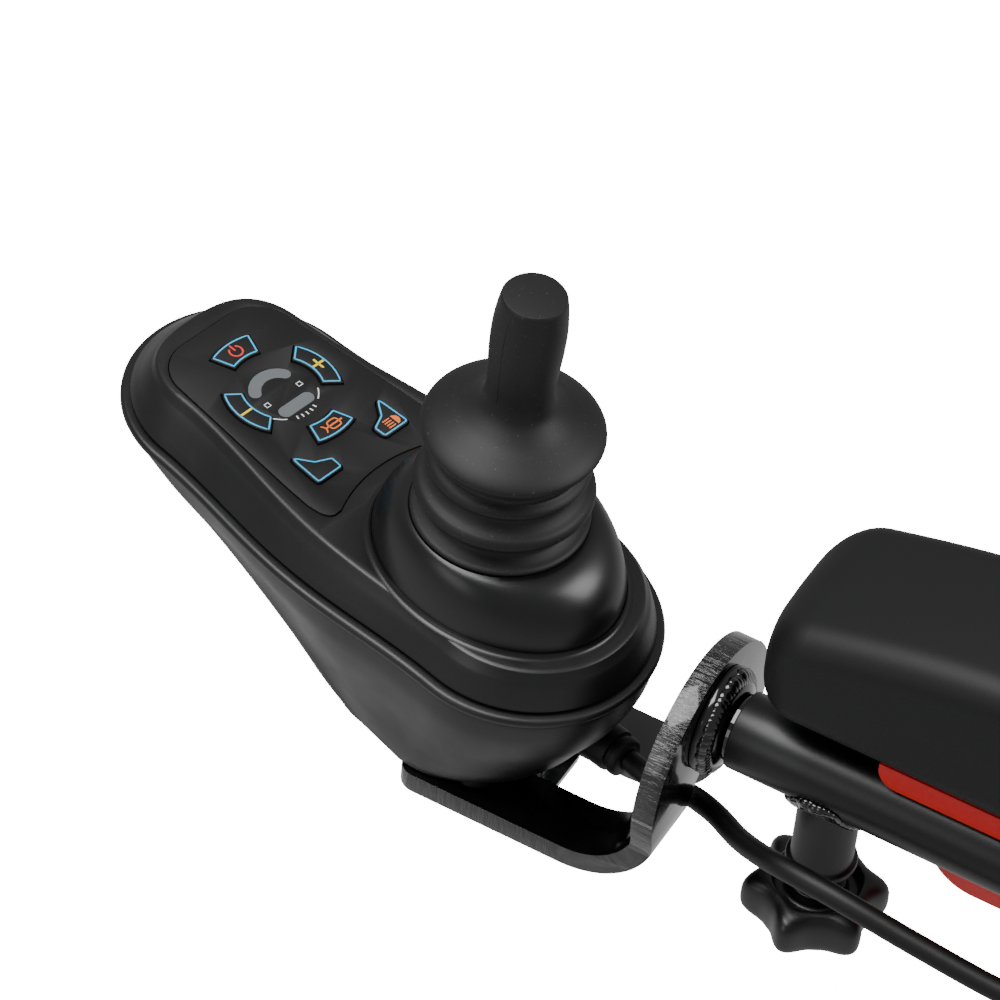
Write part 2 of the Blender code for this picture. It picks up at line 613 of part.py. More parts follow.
def make_bracket():
    rear = BRACKET_AHEAD
    front = rear + BRACKET_THICK
    top = -BRACKET_DROP
    bend_y = front + BRACKET_BEND
    bend_z = top + BRACKET_BEND
    high = BRACKET_HEAD_Z + BRACKET_HEAD_RADIUS + 10.0
    profile = [(BRACKET_TIP, top)]
    profile += arc(bend_y, bend_z, BRACKET_BEND, 270, 180, 12)
    profile += [(front, high), (rear, high)]
    profile += arc(bend_y, bend_z, BRACKET_BEND + BRACKET_THICK, 180, 270, 14)
    profile += [(BRACKET_TIP, BRACKET_UNDER)]
    half = BRACKET_WIDTH / 2
    reach = BRACKET_HEAD_RADIUS + 4.0
    bracket = prism("bracket_plate", profile, -reach, reach, "enamel", ARM, axis="X")
    lean = math.degrees(math.acos(half / BRACKET_HEAD_RADIUS))
    outline = [(-half, BRACKET_UNDER - 5), (half, BRACKET_UNDER - 5)]
    outline += arc(0.0, BRACKET_HEAD_Z, BRACKET_HEAD_RADIUS, -lean, 180 + lean, 33)
    cut(bracket, prism("cut_bracket_head", outline, -10, BRACKET_TIP + 10, None, ARM, axis="Y"), "INTERSECT")
    corner = 6.0
    plan = [(-reach - 5, -20.0), (reach + 5, -20.0), (reach + 5, 50.0), (half, 50.0)]
    plan += arc(half - corner, BRACKET_TIP - corner, corner, 0, 90, 6)
    plan += arc(-half + corner, BRACKET_TIP - corner, corner, 90, 180, 6)
    plan += [(-half, 50.0), (-reach - 5, 50.0)]
    cut(bracket, prism("cut_bracket_plan", plan, BRACKET_UNDER - 5, high + 5, None, ARM), "INTERSECT")
    flat_slot = [(-SLOT_HALF, rear - 5.0), (SLOT_HALF, rear - 5.0)]
    flat_slot += arc(0.0, SLOT_FRONT - SLOT_HALF, SLOT_HALF, 0, 180, 12)
    cut(bracket, prism("cut_slot_flat", flat_slot, BRACKET_UNDER - 5, SLOT_TOP - SLOT_HALF, None, ARM))
    upright = arc(0.0, SLOT_TOP - SLOT_HALF, SLOT_HALF, 0, 180, 12)
    upright += [(-SLOT_HALF, SLOT_TOP - 2 * SLOT_HALF), (SLOT_HALF, SLOT_TOP - 2 * SLOT_HALF)]
    cut(bracket, prism("cut_slot_upright", upright, -5, front + 8.0, None, ARM, axis="Y"))


def make_stub():
    front = BRACKET_AHEAD - GAP
    stub = turned("stub_tube", [(STUB_RADIUS - 0.6, 0.0), (STUB_RADIUS, -0.6), (STUB_RADIUS, -STUB_LENGTH + 1),
                                (STUB_RADIUS - 1, -STUB_LENGTH), (STUB_BORE, -STUB_LENGTH), (STUB_BORE, 0.0)],
                  "zinc_steel", ARM, (0.0, front, 0.0), (-90, 0, 0), 28)
    half = GROOVE_WIDTH / 2
    cut(stub, box("cut_groove", (-half, -CLAMP_BEHIND - SLIDE_TRAVEL - 4.0, -STUB_RADIUS - 5),
                  (half, -CLAMP_BEHIND + 4.0, GROOVE_FLOOR), None, ARM))
    inner = STUB_RADIUS + GAP
    turned("stub_weld", [(inner + 5.2, 0.0), (inner + 6.4, -1.6), (inner + 5.6, -4.2), (inner + 2.6, -6.2),
                         (inner, -6.8), (inner, 0.0)], "enamel", ARM, (0.0, front, 0.0), (-90, 0, 0), 28)


# ---- control unit shells ------------------------------------------------------------------------------
TILT_SLOPE = math.tan(math.radians(UNIT_TILT))
HULL_BASE = -BRACKET_DROP + GAP
HULL_TOP = RIM_Z - BAND_HEIGHT / 2 - GAP
BASE_THICK = 3.4

# The lower shell's sections: height, rear and front radius, the length between their centres,
# how far the rear centre has moved forward, the side bulge, and the share of the upper half's tilt.
HULL_SECTIONS = [
    (HULL_BASE, 27.3, 25.3, 16.0, 16.0, 0.0, 0.0), (HULL_BASE + 1.2, 28.5, 26.5, 16.0, 16.0, 0.0, 0.0),
    (HULL_BASE + 5.0, 29.5, 26.5, 27.5, 12.5, 0.2, 0.05), (HULL_BASE + 10.0, 30.4, 26.6, 38.0, 9.5, 0.6, 0.12),
    (HULL_BASE + 15.0, 31.2, 26.9, 47.5, 7.5, 1.0, 0.22), (HULL_BASE + 21.0, 32.4, 27.8, 58.6, 5.0, 1.6, 0.36),
    (HULL_BASE + 27.0, 33.8, 28.8, 70.2, 2.8, 2.2, 0.52), (HULL_BASE + 33.0, 35.0, 30.0, 82.6, 1.4, 2.8, 0.7),
    (HULL_BASE + 38.5, 35.9, 31.7, 95.0, 0.5, 3.2, 0.86), (HULL_TOP - 2.6, 36.3, 33.0, 103.5, 0.0, 3.5, 1.0),
    (HULL_TOP, 36.4, 33.6, 106.0, 0.0, 3.6, 1.0)]

CASE_SCREWS = [(-18.0, 72.0), (18.0, 72.0), (-17.0, -2.0), (17.0, -2.0)]
CASE_HEAD_Z = [-22.0, -22.0, -33.0, -33.0]
CASE_BOSS = 4.6
SCREW_SHANK = 1.6
SCREW_HEAD = 3.0
MOUNT_SCREWS = [(0.0, 58.0), (0.0, 70.0)]
MOUNT_SHANK = 2.5
SOCKET_RADIUS = 8.0
SOCKET_Y = 104.0
SOCKET_Z = -8.2
SOCKET_LEAN = 25.0


def hull_ring(section, inset=0.0, lift=0.0):
    z, rear, front, length, start, bulge, share = section
    return [(x, y, z + lift + TILT_SLOPE * y * share)
            for x, y in capsule(rear, front, length, start, bulge, inset)]


def make_lower_shell():
    rings = [hull_ring(section) for section in HULL_SECTIONS]
    rings += [hull_ring(section, SHELL_WALL) for section in reversed(HULL_SECTIONS[2:])]
    rings.append(hull_ring(HULL_SECTIONS[1], SHELL_WALL + 1.0, BASE_THICK - 1.2))
    shell = loft("lower_shell", rings, "black_abs", UNIT)
    for index, ((x, y), head) in enumerate(zip(CASE_SCREWS, CASE_HEAD_Z)):
        cut(shell, cylinder(f"cut_case_boss_{index}", CASE_BOSS + 1.2, max(head - 9.0, HULL_BASE + 1.0),
                            head + 14, None, UNIT, at=(x, y), sides=24), "UNION")
    for index, at in enumerate(MOUNT_SCREWS):
        cut(shell, cylinder(f"cut_mount_boss_{index}", 5.6, HULL_BASE + 1.0, HULL_BASE + 13.0, None, ARM,
                            at=at, sides=24), "UNION")
    outside = [hull_ring(section, -0.02) for section in HULL_SECTIONS]
    outside[0] = [(x, y, z - 1.0) for x, y, z in outside[0]]
    outside[-1] = [(x, y, z + 9.0) for x, y, z in outside[-1]]
    cut(shell, loft("cut_hull_outside", outside, None, UNIT), "INTERSECT")
    for index, ((x, y), head) in enumerate(zip(CASE_SCREWS, CASE_HEAD_Z)):
        cut(shell, cylinder(f"cut_case_hole_{index}", SCREW_SHANK + GAP, head - 2, head + 12.5, None, UNIT,
                            at=(x, y), sides=16))
        cut(shell, cylinder(f"cut_case_head_{index}", SCREW_HEAD + GAP, head - 30, head, None, UNIT,
                            at=(x, y), sides=20))
    cut(shell, cylinder("cut_gland_hole", GLAND_RADIUS + GAP, GLAND_TIP - 10, GLAND_TIP + 20, None, UNIT,
                        at=(GLAND_SIDE, GLAND_Z), axis="Y", sides=28))
    socket = cylinder("cut_socket_hole", SOCKET_RADIUS + GAP, -14, 14, None, UNIT, sides=32)
    socket.location = Vector((0, SOCKET_Y, SOCKET_Z)) * MM
    socket.rotation_euler = (math.radians(SOCKET_LEAN), 0, 0)
    cut(shell, socket)
    cut(shell, cylinder("cut_mount_holes", MOUNT_SHANK + GAP, HULL_BASE - 10, HULL_BASE + 10.5, None, ARM,
                        sides=20, parts=MOUNT_SCREWS))


def rim_ring(z, inset=0.0, nose=0.0, square=0.0):
    return [(x, y, z) for x, y in capsule(RIM_REAR_RADIUS, RIM_FRONT_RADIUS, RIM_LENGTH, 0.0, SIDE_BULGE, inset,
                                          nose, square)]


def dome_ring(t, z, inset=0.0, count=36):
    """A section of the dome round the joystick: t is 0 at its foot and 1 at its mouth."""
    mouth = BOOT_RADIUS + 0.4
    half_x = DOME_HALF_WIDTH + (mouth - DOME_HALF_WIDTH) * t - inset
    half_y = DOME_HALF_LENGTH + (mouth - DOME_HALF_LENGTH) * t - inset
    centre = DOME_Y + (STICK_Y - DOME_Y) * t
    return [(half_x * math.cos(2 * math.pi * i / count), centre + half_y * math.sin(2 * math.pi * i / count), z)
            for i in range(count)]


def dome_rows(inset=0.0, lift=0.0):
    foot = TOP_RISE - 1.5
    rows = []
    for step in range(6):
        angle = math.radians(82 * step / 5)
        t = (1 - math.cos(angle)) / (1 - math.cos(math.radians(82)))
        z = foot + (DOME_RISE - foot) * math.sin(angle) / math.sin(math.radians(82))
        rows.append(dome_ring(t, z + lift, inset))
    return rows


def make_upper_shell():
    wall = SHELL_WALL
    low = BAND_HEIGHT / 2 + 1.1
    shell = loft("upper_shell", [rim_ring(low, 2.6), rim_ring(TOP_RISE - 6.8, 4.0, 2.4, 0.8),
                                 rim_ring(TOP_RISE - 2.9, 5.4, 4.2, 1.8), rim_ring(TOP_RISE - 0.5, 6.8, 4.4, 2.4),
                                 rim_ring(TOP_RISE, 7.6, 4.4, 2.5)], "black_abs", TOP)
    foot = [dome_ring(0.0, TOP_RISE - 5.0)]
    cut(shell, loft("cut_dome_outer", foot + dome_rows(), None, TOP), "UNION")
    cut(shell, loft("cut_cavity", [rim_ring(low - 4.0, 2.6 + wall), rim_ring(TOP_RISE - 7.6, 4.0 + wall, 2.6, 0.8),
                                   rim_ring(TOP_RISE - TOP_WALL, 6.0 + wall, 4.2, 1.8)], None, TOP))
    inner = [dome_ring(0.0, TOP_RISE - 8.0, wall)] + dome_rows(wall, -wall)
    cut(shell, loft("cut_dome_inner", inner, None, TOP))
    cut(shell, cylinder("cut_boot_hole", BOOT_RADIUS - 2.7, 10, 60, None, STICK, sides=36))
    cut(shell, prism("cut_panel_seat", panel_outline(GAP), TOP_RISE - PANEL_THICK - GAP, TOP_RISE + 6, None, TOP))
    cut(shell, prism("cut_panel_window", panel_outline(-1.6), 0.0, TOP_RISE + 6, None, TOP))


def make_band():
    half = BAND_HEIGHT / 2
    rings = [rim_ring(-half, 0.9), rim_ring(-half + 0.6, 0.1), rim_ring(half - 0.9, 0.0), rim_ring(half, 0.8),
             rim_ring(half, 4.4), rim_ring(-half, 4.4)]
    loft("rim_band", rings, "black_abs", TOP, close_ring=True)
    loft("shell_gasket", [rim_ring(half + GAP, 3.2), rim_ring(half + GAP, 4.4), rim_ring(half + 0.8, 4.4),
                          rim_ring(half + 0.8, 3.2)], "black_rubber", TOP, close_ring=True)


# ---- keypad ----------------------------------------------------------------------------------------
PANEL_HALF = 25.0
PANEL_FRONT = 123.4
PANEL_NOSE_HALF = 21.0
PANEL_NOSE_CORNER = 12.0
PANEL_CORNER_Y = 52.0
PANEL_HOLLOW = 43.6
PANEL_HOLLOW_Y = 13.0
RING_Y = 93.6                 # the centre of the ring of four buttons
WINDOW_X = -1.0


def panel_outline(grow):
    """The keypad's outline: wider at the rear, with its rear edge hollowed round the joystick."""
    half = PANEL_HALF + grow
    corner = PANEL_NOSE_CORNER + grow
    side_x = PANEL_NOSE_HALF - PANEL_NOSE_CORNER
    front_y = PANEL_FRONT - PANEL_NOSE_CORNER
    right = [(half, PANEL_CORNER_Y + 7.0), (half - 0.3, PANEL_CORNER_Y + 14.0), (half - 1.4, PANEL_CORNER_Y + 28.0),
             (half - 2.9, PANEL_CORNER_Y + 46.0)]
    right += arc(side_x, front_y, corner, 5, 90, 9)
    left = [(-x, y) for x, y in reversed(right)]
    rear = PANEL_CORNER_Y - grow
    hollow = PANEL_HOLLOW - grow
    lean = math.degrees(math.asin((half - 4.6) / hollow))
    end = [(half - 2.3, rear + 0.6), (half - 0.7, rear + 3.0)]
    start = [(-x, y) for x, y in reversed(end)]
    return right + left + start + arc(0.0, PANEL_HOLLOW_Y, hollow, 90 + lean, 90 - lean, 9) + end


def segment(radius_in, radius_out, middle, spread, squeeze=1.0, count=7):
    """A curved button: a piece of a ring round the ring's centre, angles in degrees."""
    inner = arc(0, 0, radius_in, middle + spread * squeeze, middle - spread * squeeze, count)
    outer = arc(0, 0, radius_out, middle - spread, middle + spread, count)
    return [(x, RING_Y + y) for x, y in inner + outer]


def button_outlines():
    lamp = [(17.8, 62.2), (17.2, 75.4), (12.6, 69.0), (7.8, 66.8), (8.0, 62.2)]
    return {
        "power": segment(14.4, 21.9, 90, 20, 0.97),
        "horn": segment(15.0, 22.0, 270, 19, 0.97),
        "plus": segment(11.0, 16.9, 0, 34, 0.92),
        "minus": segment(11.0, 16.9, 180, 34, 0.92),
        "light": rounded_polygon(lamp, 1.4, 4),
        "spare": rounded_polygon([(-x, y) for x, y in reversed(lamp)], 1.4, 4),
    }


def grow_outline(outline, by):
    """The anticlockwise outline moved outwards by a small distance, point by point."""
    total = len(outline)
    moved = []
    for i, point in enumerate(outline):
        here = Vector(point)
        first = here - Vector(outline[i - 1])
        second = Vector(outline[(i + 1) % total]) - here
        n1 = Vector((first.y, -first.x)).normalized()
        n2 = Vector((second.y, -second.x)).normalized()
        normal = (n1 + n2).normalized()
        moved.append(tuple(here + normal * by / max(0.5, normal.dot(n1))))
    return moved


def window_outlines():
    bar = arc(-4.2, 0, 2.05, 90, 270, 8) + arc(4.2, 0, 2.05, -90, 90, 8)
    return {"arc": [(WINDOW_X + x, y) for x, y in segment(4.9, 8.8, 90, 60, count=9)],
            "bar": [(WINDOW_X + x, RING_Y - 6.4 + y) for x, y in bar]}


def make_keypad():
    low = TOP_RISE - PANEL_THICK
    panel = prism("keypad_panel", panel_outline(0.0), low, TOP_RISE, "keypad_skin", TOP)
    for name, outline in button_outlines().items():
        cut(panel, prism(f"cut_hole_{name}", grow_outline(outline, BUTTON_GAP), low - 2, TOP_RISE + 2, None, TOP))
        prism(f"button_{name}", outline, TOP_RISE + BUTTON_PROUD - BUTTON_DEPTH, TOP_RISE + BUTTON_PROUD,
              "keypad_skin", TOP)
    for name, outline in window_outlines().items():
        cut(panel, prism(f"cut_window_{name}", grow_outline(outline, GAP), low - 2, TOP_RISE + 2, None, TOP))
        prism(f"window_{name}", outline, low + 0.2, TOP_RISE - 0.1, "window", TOP)


def make_board():
    top = TOP_RISE - BOARD_DROP
    outline = [(22.0, 46.0), (25.0, 60.0), (25.5, 90.0), (23.5, 106.0), (17.0, 118.0), (9.0, 124.0)]
    outline += [(-x, y) for x, y in reversed(outline)]
    prism("circuit_board", outline, top - BOARD_THICK, top, "board_green", TOP)
    bottom = TOP_RISE + BUTTON_PROUD - BUTTON_DEPTH
    mat = prism("switch_mat", [(20.5, 56.0), (21.5, 70.0), (19.5, 95.0), (15.0, 112.0), (8.0, 118.5), (-8.0, 118.5),
                               (-15.0, 112.0), (-19.5, 95.0), (-21.5, 70.0), (-20.5, 56.0)],
                top + GAP, top + GAP + 1.0, "black_rubber", TOP)
    centres = []
    for outline in button_outlines().values():
        total = len(outline)
        centres.append((sum(p[0] for p in outline) / total, sum(p[1] for p in outline) / total))
    cut(mat, cylinder("cut_mat_domes", 2.4, top + GAP + 0.5, bottom - 1.1, None, TOP, sides=16, parts=centres),
        "UNION")


# ---- joystick ----------------------------------------------------------------------------------------
YOKE_HALF = 12.5
YOKE_HOLE = 8.2
YOKE_THICK = 6.0
AXLE = 1.8
SPRING_RADIUS = 7.0
SPRING_WIRE = 0.7
SPRING_LOW = PIVOT_Z + 7.0
SPRING_HIGH = 31.0
SPRING_TURNS = 4


def make_gimbal():
    housing = cylinder("gimbal_housing", HOUSING_RADIUS, -8.0, PIVOT_Z + 4.0, "nylon", STICK, sides=32)
    cut(housing, cylinder("cut_housing_bore", HOUSING_BORE, -5.0, 40, None, STICK, sides=32))
    cut(housing, cylinder("cut_housing_axle", AXLE + GAP, -30, 30, None, STICK, at=(0.0, PIVOT_Z), axis="X",
                          sides=16))
    half = YOKE_THICK / 2
    yoke = box("gimbal_yoke", (-YOKE_HALF, -YOKE_HALF, PIVOT_Z - half), (YOKE_HALF, YOKE_HALF, PIVOT_Z + half),
               "nylon", STICK)
    cut(yoke, cylinder("cut_yoke_axle", AXLE, -HOUSING_BORE - 1.8, HOUSING_BORE + 1.8, None, STICK,
                       at=(0.0, PIVOT_Z), axis="X", sides=16), "UNION")
    cut(yoke, box("cut_yoke_window", (-YOKE_HOLE, -YOKE_HOLE, PIVOT_Z - 9), (YOKE_HOLE, YOKE_HOLE, PIVOT_Z + 9),
                  None, STICK))
    cut(yoke, cylinder("cut_yoke_cross", AXLE + GAP, -30, 30, None, STICK, at=(0.0, PIVOT_Z), axis="Y",
                       sides=16))


def make_stick():
    stick = cylinder("stick_shaft", STICK_RADIUS, 2.0, STICK_TOP, "zinc_steel", STICK, sides=24)
    hub = cylinder("cut_stick_hub", 6.0, PIVOT_Z - 5.0, PIVOT_Z + 5.0, None, STICK, sides=24)
    axle = cylinder("cut_stick_axle", AXLE, -YOKE_HALF - 1.0, YOKE_HALF + 1.0, None, STICK, at=(0.0, PIVOT_Z),
                    axis="Y", sides=16)
    cut(cut(stick, hub, "UNION"), axle, "UNION")
    bore = STICK_RADIUS + GAP
    turned("spring_collar", ring(8.6, bore, SPRING_HIGH + 1.1, SPRING_HIGH + 3.4), "nylon", STICK, steps=24)
    per_turn = 9
    total = SPRING_TURNS * per_turn
    helix = []
    for i in range(total + 1):
        angle = 2 * math.pi * i / per_turn
        z = SPRING_LOW + (SPRING_HIGH - SPRING_LOW) * i / total
        helix.append((SPRING_RADIUS * math.cos(angle), SPRING_RADIUS * math.sin(angle), z))
    wire("centring_spring", helix, SPRING_WIRE, "zinc_steel", STICK, resolution=1)


def make_boot():
    """The lower bellows, clipped in the dome's mouth; the grip's skirt hangs over its open top."""
    seat = RIM_Z + DOME_RISE + GAP
    plug = BOOT_RADIUS - 3.0
    outside = [(18.4, seat + 12.0), (19.6, seat + 13.0), (22.4, seat + 12.6), (24.3, seat + 11.0), (24.3, seat + 9.6),
               (22.8, seat + 8.0), (20.8, seat + 6.2), (19.8, seat + 4.4), (20.3, seat + 2.9), (22.2, seat + 1.7),
               (BOOT_RADIUS, seat + 0.9), (BOOT_RADIUS, seat), (plug, seat), (plug, seat - 3.2)]
    inside = [(plug - 2.0, seat - 3.2), (plug - 2.0, seat + 0.8), (18.2, seat + 3.0), (17.8, seat + 4.6),
              (18.8, seat + 7.0), (20.8, seat + 9.0), (21.9, seat + 10.2), (21.2, seat + 11.0), (19.8, seat + 11.2),
              (18.4, seat + 10.6)]
    turned("joystick_boot", outside + inside, "black_rubber", STICK, steps=26)


def make_grip():
    bore = STICK_RADIUS + GAP
    sleeve = bore + 1.7
    top = GRIP_TOP
    edge = SKIRT_RADIUS
    outside = [(0.0, top), (7.9, top), (8.75, top - 0.7), (9.3, top - 4.0), (9.95, top - 13.0), (9.85, top - 20.0),
               (9.1, top - 30.0), (9.1, top - 34.5), (10.4, top - 38.6), (14.0, top - 41.8), (edge - 4.6, SKIRT_Z + 3.6),
               (edge - 1.0, SKIRT_Z + 1.6), (edge, SKIRT_Z), (edge - 0.6, SKIRT_Z - 1.6), (edge - 3.2, SKIRT_Z - 3.2),
               (edge - 4.6, SKIRT_Z - 4.6), (edge - 4.1, SKIRT_Z - 6.4), (edge - 4.4, SKIRT_Z - 7.8)]
    inside = [(edge - 6.0, SKIRT_Z - 8.6), (12.0, SKIRT_Z - 9.6), (7.0, SKIRT_Z - 10.6), (sleeve, SKIRT_Z - 12.5),
              (sleeve, SKIRT_Z - 29.0), (bore, SKIRT_Z - 29.0), (bore, STICK_TOP + GAP), (0.0, STICK_TOP + GAP)]
    turned("joystick_grip", outside + inside, "black_rubber", STICK, steps=26)


# ---- small parts of the control unit --------------------------------------------------------------------
def make_unit_screws():
    for index, ((x, y), head) in enumerate(zip(CASE_SCREWS, CASE_HEAD_Z)):
        top = head - GAP
        screw = cylinder(f"case_screw_{index + 1}", SCREW_SHANK, top - 1.0, top + 11.0, "zinc_steel", UNIT,
                         at=(x, y), sides=14)
        cut(screw, cylinder(f"cut_case_screw_{index}", SCREW_HEAD, top - 2.2, top, None, UNIT, at=(x, y),
                            sides=18), "UNION")
    washer_top = BRACKET_UNDER - GAP
    washer_low = washer_top - 1.9
    for index, at in enumerate(MOUNT_SCREWS):
        top = washer_low - GAP
        screw = cylinder(f"mount_screw_{index + 1}", MOUNT_SHANK, top - 1.0, HULL_BASE + 8.5, "zinc_steel", ARM,
                         at=at, sides=18)
        cut(screw, cylinder(f"cut_mount_head_{index}", 4.6, top - 3.4, top, None, ARM, at=at, sides=20), "UNION")
    y0, y1 = MOUNT_SCREWS[0][1], MOUNT_SCREWS[1][1]
    outline = rounded_polygon([(-12.5, y0 - 8.0), (12.5, y0 - 8.0), (12.5, y1 + 8.0), (-12.5, y1 + 8.0)], 4.0)
    washer = prism("mount_washer", outline, washer_low, washer_top, "zinc_steel", ARM)
    cut(washer, cylinder("cut_washer_holes", MOUNT_SHANK + GAP, washer_low - 5, washer_top + 5, None, ARM,
                         sides=20, parts=MOUNT_SCREWS))


def make_socket():
    """The charging socket under the nose: a cup with three pins standing on its floor."""
    body = cylinder("charge_socket", SOCKET_RADIUS, -6.0, 7.0, "nylon", UNIT, sides=32)
    cup = cylinder("cut_socket_cup", SOCKET_RADIUS - 1.6, -12.0, 4.0, None, UNIT, sides=28)
    pins = cylinder("cut_socket_pins", 1.1, -3.5, 5.0, None, UNIT, sides=12,
                    parts=[(3.2 * math.cos(a), 3.2 * math.sin(a)) for a in (0.5, 2.6, 4.7)])
    for piece in (body, cup, pins):
        piece.location = Vector((0, SOCKET_Y, SOCKET_Z)) * MM
        piece.rotation_euler = (math.radians(SOCKET_LEAN), 0, 0)
    cut(cut(body, cup), pins, "UNION")


# ---- cable ------------------------------------------------------------------------------------------
def unit_point(x, y, z):
    yaw = math.radians(UNIT_YAW)
    return (UNIT_X + x * math.cos(yaw) + y * math.sin(yaw), UNIT_Y - x * math.sin(yaw) + y * math.cos(yaw), z)


CONNECTOR_X = -18.2
CONNECTOR_Z = -10.0
CLIP_Y = -184.0
CLIP_AT = (-16.4, -10.2)
# The cable's route in the arm frame, from the gland through the bracket's slot to the connector.
CABLE_ROUTE = [unit_point(GLAND_SIDE, GLAND_TIP - GAP, GLAND_Z), unit_point(GLAND_SIDE, GLAND_TIP - 9.0, GLAND_Z),
               (-1.2, 12.0, -32.4), (-5.5, 2.0, -29.8), (-12.0, -8.0, -27.0), (-18.4, -17.0, -21.6),
               (-24.0, -28.0, -16.0), (-26.6, -45.0, -14.6), (-27.2, -68.0, -17.2), (-27.0, -96.0, -20.0),
               (-25.6, -122.0, -19.2), (-22.0, -146.0, -15.6), (-17.2, -166.0, -11.2), (CLIP_AT[0], CLIP_Y, CLIP_AT[1]),
               (CONNECTOR_X, -204.0, CONNECTOR_Z), (CONNECTOR_X, -CONNECTOR_FRONT + GAP, CONNECTOR_Z)]


def make_cable():
    turned("cable_gland", [(GLAND_RADIUS, GLAND_LENGTH), (GLAND_RADIUS, 1.8), (GLAND_RADIUS - 0.8, 0.6),
                           (GLAND_RADIUS - 2.0, 0.0), (0.0, 0.0), (0.0, GLAND_LENGTH)], "black_rubber", UNIT,
           (GLAND_SIDE, GLAND_TIP, GLAND_Z), (-90, 0, 0), 20)
    route = smooth_route(CABLE_ROUTE, 5 * CABLE_RADIUS)
    route.insert(1, unit_point(GLAND_SIDE, GLAND_TIP - GAP - 4.0, GLAND_Z))
    route.insert(-1, (CONNECTOR_X, -CONNECTOR_FRONT + GAP + 4.0, CONNECTOR_Z))
    wire("cable", route, CABLE_RADIUS, "cable_pvc", ARM)
    front = -CONNECTOR_FRONT
    big = CONNECTOR_RADIUS
    length = CONNECTOR_LENGTH
    connector = turned("cable_connector", [(0.0, 0.0), (4.4, 0.0), (5.2, -6.0), (6.2, -9.0), (big, -10.0),
                                           (big, -22.0), (6.6, -23.0), (6.6, -length), (5.0, -length), (5.0, -27.0),
                                           (0.0, -27.0)], "nylon", ARM, (CONNECTOR_X, front, CONNECTOR_Z),
                       (-90, 0, 0), 22)
    pins = cylinder("cut_connector_pins", 0.8, front - length + 3.0, front - 26.0, None, ARM, axis="Y", sides=10,
                    parts=[(CONNECTOR_X + 2.6 * math.cos(a), CONNECTOR_Z + 2.6 * math.sin(a))
                           for a in (0.8, 2.4, 3.9, 5.5)])
    cut(connector, pins, "UNION")


def make_clip(name, y, x, z, radius, width=7.0, wall=2.2):
    """A bonded clip: a foot on the tube and a ring round the cable or its connector."""
    outer = radius + 2 * GAP + wall
    clip = cylinder(name, outer, y - width / 2, y + width / 2, "nylon", ARM, at=(x, z), axis="Y", sides=24)
    along = Vector((-x, -z)).normalized()
    side = Vector((-along.y, along.x)) * 4.5
    centre = Vector((x, z))
    foot = [centre + side, centre - side, -side - along * TUBE_RADIUS * 0.7, side - along * TUBE_RADIUS * 0.7]
    cut(clip, prism(f"cut_{name}_foot", [tuple(p) for p in foot], y - width / 2 + 0.4, y + width / 2 - 0.4, None,
                    ARM, axis="Y"), "UNION")
    cut(clip, cylinder(f"cut_{name}_tube", TUBE_RADIUS + GAP, y - 20, y + 20, None, ARM, axis="Y", sides=32))
    cut(clip, cylinder(f"cut_{name}_bore", radius + 2 * GAP, y - 20, y + 20, None, ARM, at=(x, z), axis="Y",
                       sides=24))


make_frame_plate()
make_pivot()
make_tube()
make_pivot_block()
make_pad()
make_guard()
make_arm_screws()
make_clamp()
make_knob()
make_bracket()
make_stub()
make_lower_shell()
make_upper_shell()
make_band()
make_keypad()
make_board()
make_gimbal()
make_stick()
make_boot()
make_grip()
make_unit_screws()
make_socket()
make_cable()
make_clip("cable_clip", CLIP_Y, CLIP_AT[0], CLIP_AT[1], CABLE_RADIUS)
make_clip("connector_clip", -CONNECTOR_FRONT - 31.0, CONNECTOR_X, CONNECTOR_Z, 6.6)
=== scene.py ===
"""The looks of a power wheelchair's joystick control and armrest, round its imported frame."""

import math

import bmesh
import bpy
from mathutils import Matrix, Vector


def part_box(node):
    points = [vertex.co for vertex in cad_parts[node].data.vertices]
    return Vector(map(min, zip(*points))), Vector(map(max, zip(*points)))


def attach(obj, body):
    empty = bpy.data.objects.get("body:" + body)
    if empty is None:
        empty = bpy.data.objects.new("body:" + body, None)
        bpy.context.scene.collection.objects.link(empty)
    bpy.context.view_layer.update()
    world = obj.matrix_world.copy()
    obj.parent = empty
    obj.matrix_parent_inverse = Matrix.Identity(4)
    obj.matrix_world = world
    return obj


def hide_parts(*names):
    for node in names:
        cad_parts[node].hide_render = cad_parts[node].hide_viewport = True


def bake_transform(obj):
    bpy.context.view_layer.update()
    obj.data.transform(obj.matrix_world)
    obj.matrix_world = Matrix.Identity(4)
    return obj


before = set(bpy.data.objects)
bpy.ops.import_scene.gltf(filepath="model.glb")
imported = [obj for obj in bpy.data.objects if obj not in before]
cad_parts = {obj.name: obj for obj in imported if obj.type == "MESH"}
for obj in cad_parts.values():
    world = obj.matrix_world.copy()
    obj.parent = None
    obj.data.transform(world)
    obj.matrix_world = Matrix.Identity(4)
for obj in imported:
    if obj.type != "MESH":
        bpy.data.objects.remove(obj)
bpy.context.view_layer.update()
MM = 0.001

# ---- places, in millimetres ---------------------------------------------------------------------
tube_low, tube_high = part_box("arm_tube")
ARM_ORIGIN = Vector(((tube_low.x + tube_high.x) / 2, tube_high.y, (tube_low.z + tube_high.z) / 2))
UNIT_YAW = 13.5
UNIT_TILT = 3.0
UNIT_PLACE = (-1.3, 65.8, 0.0)
RIM_Z = 5.0
STICK_Y = 14.2


def turn(degrees, axis):
    return Matrix.Rotation(math.radians(degrees), 4, axis)


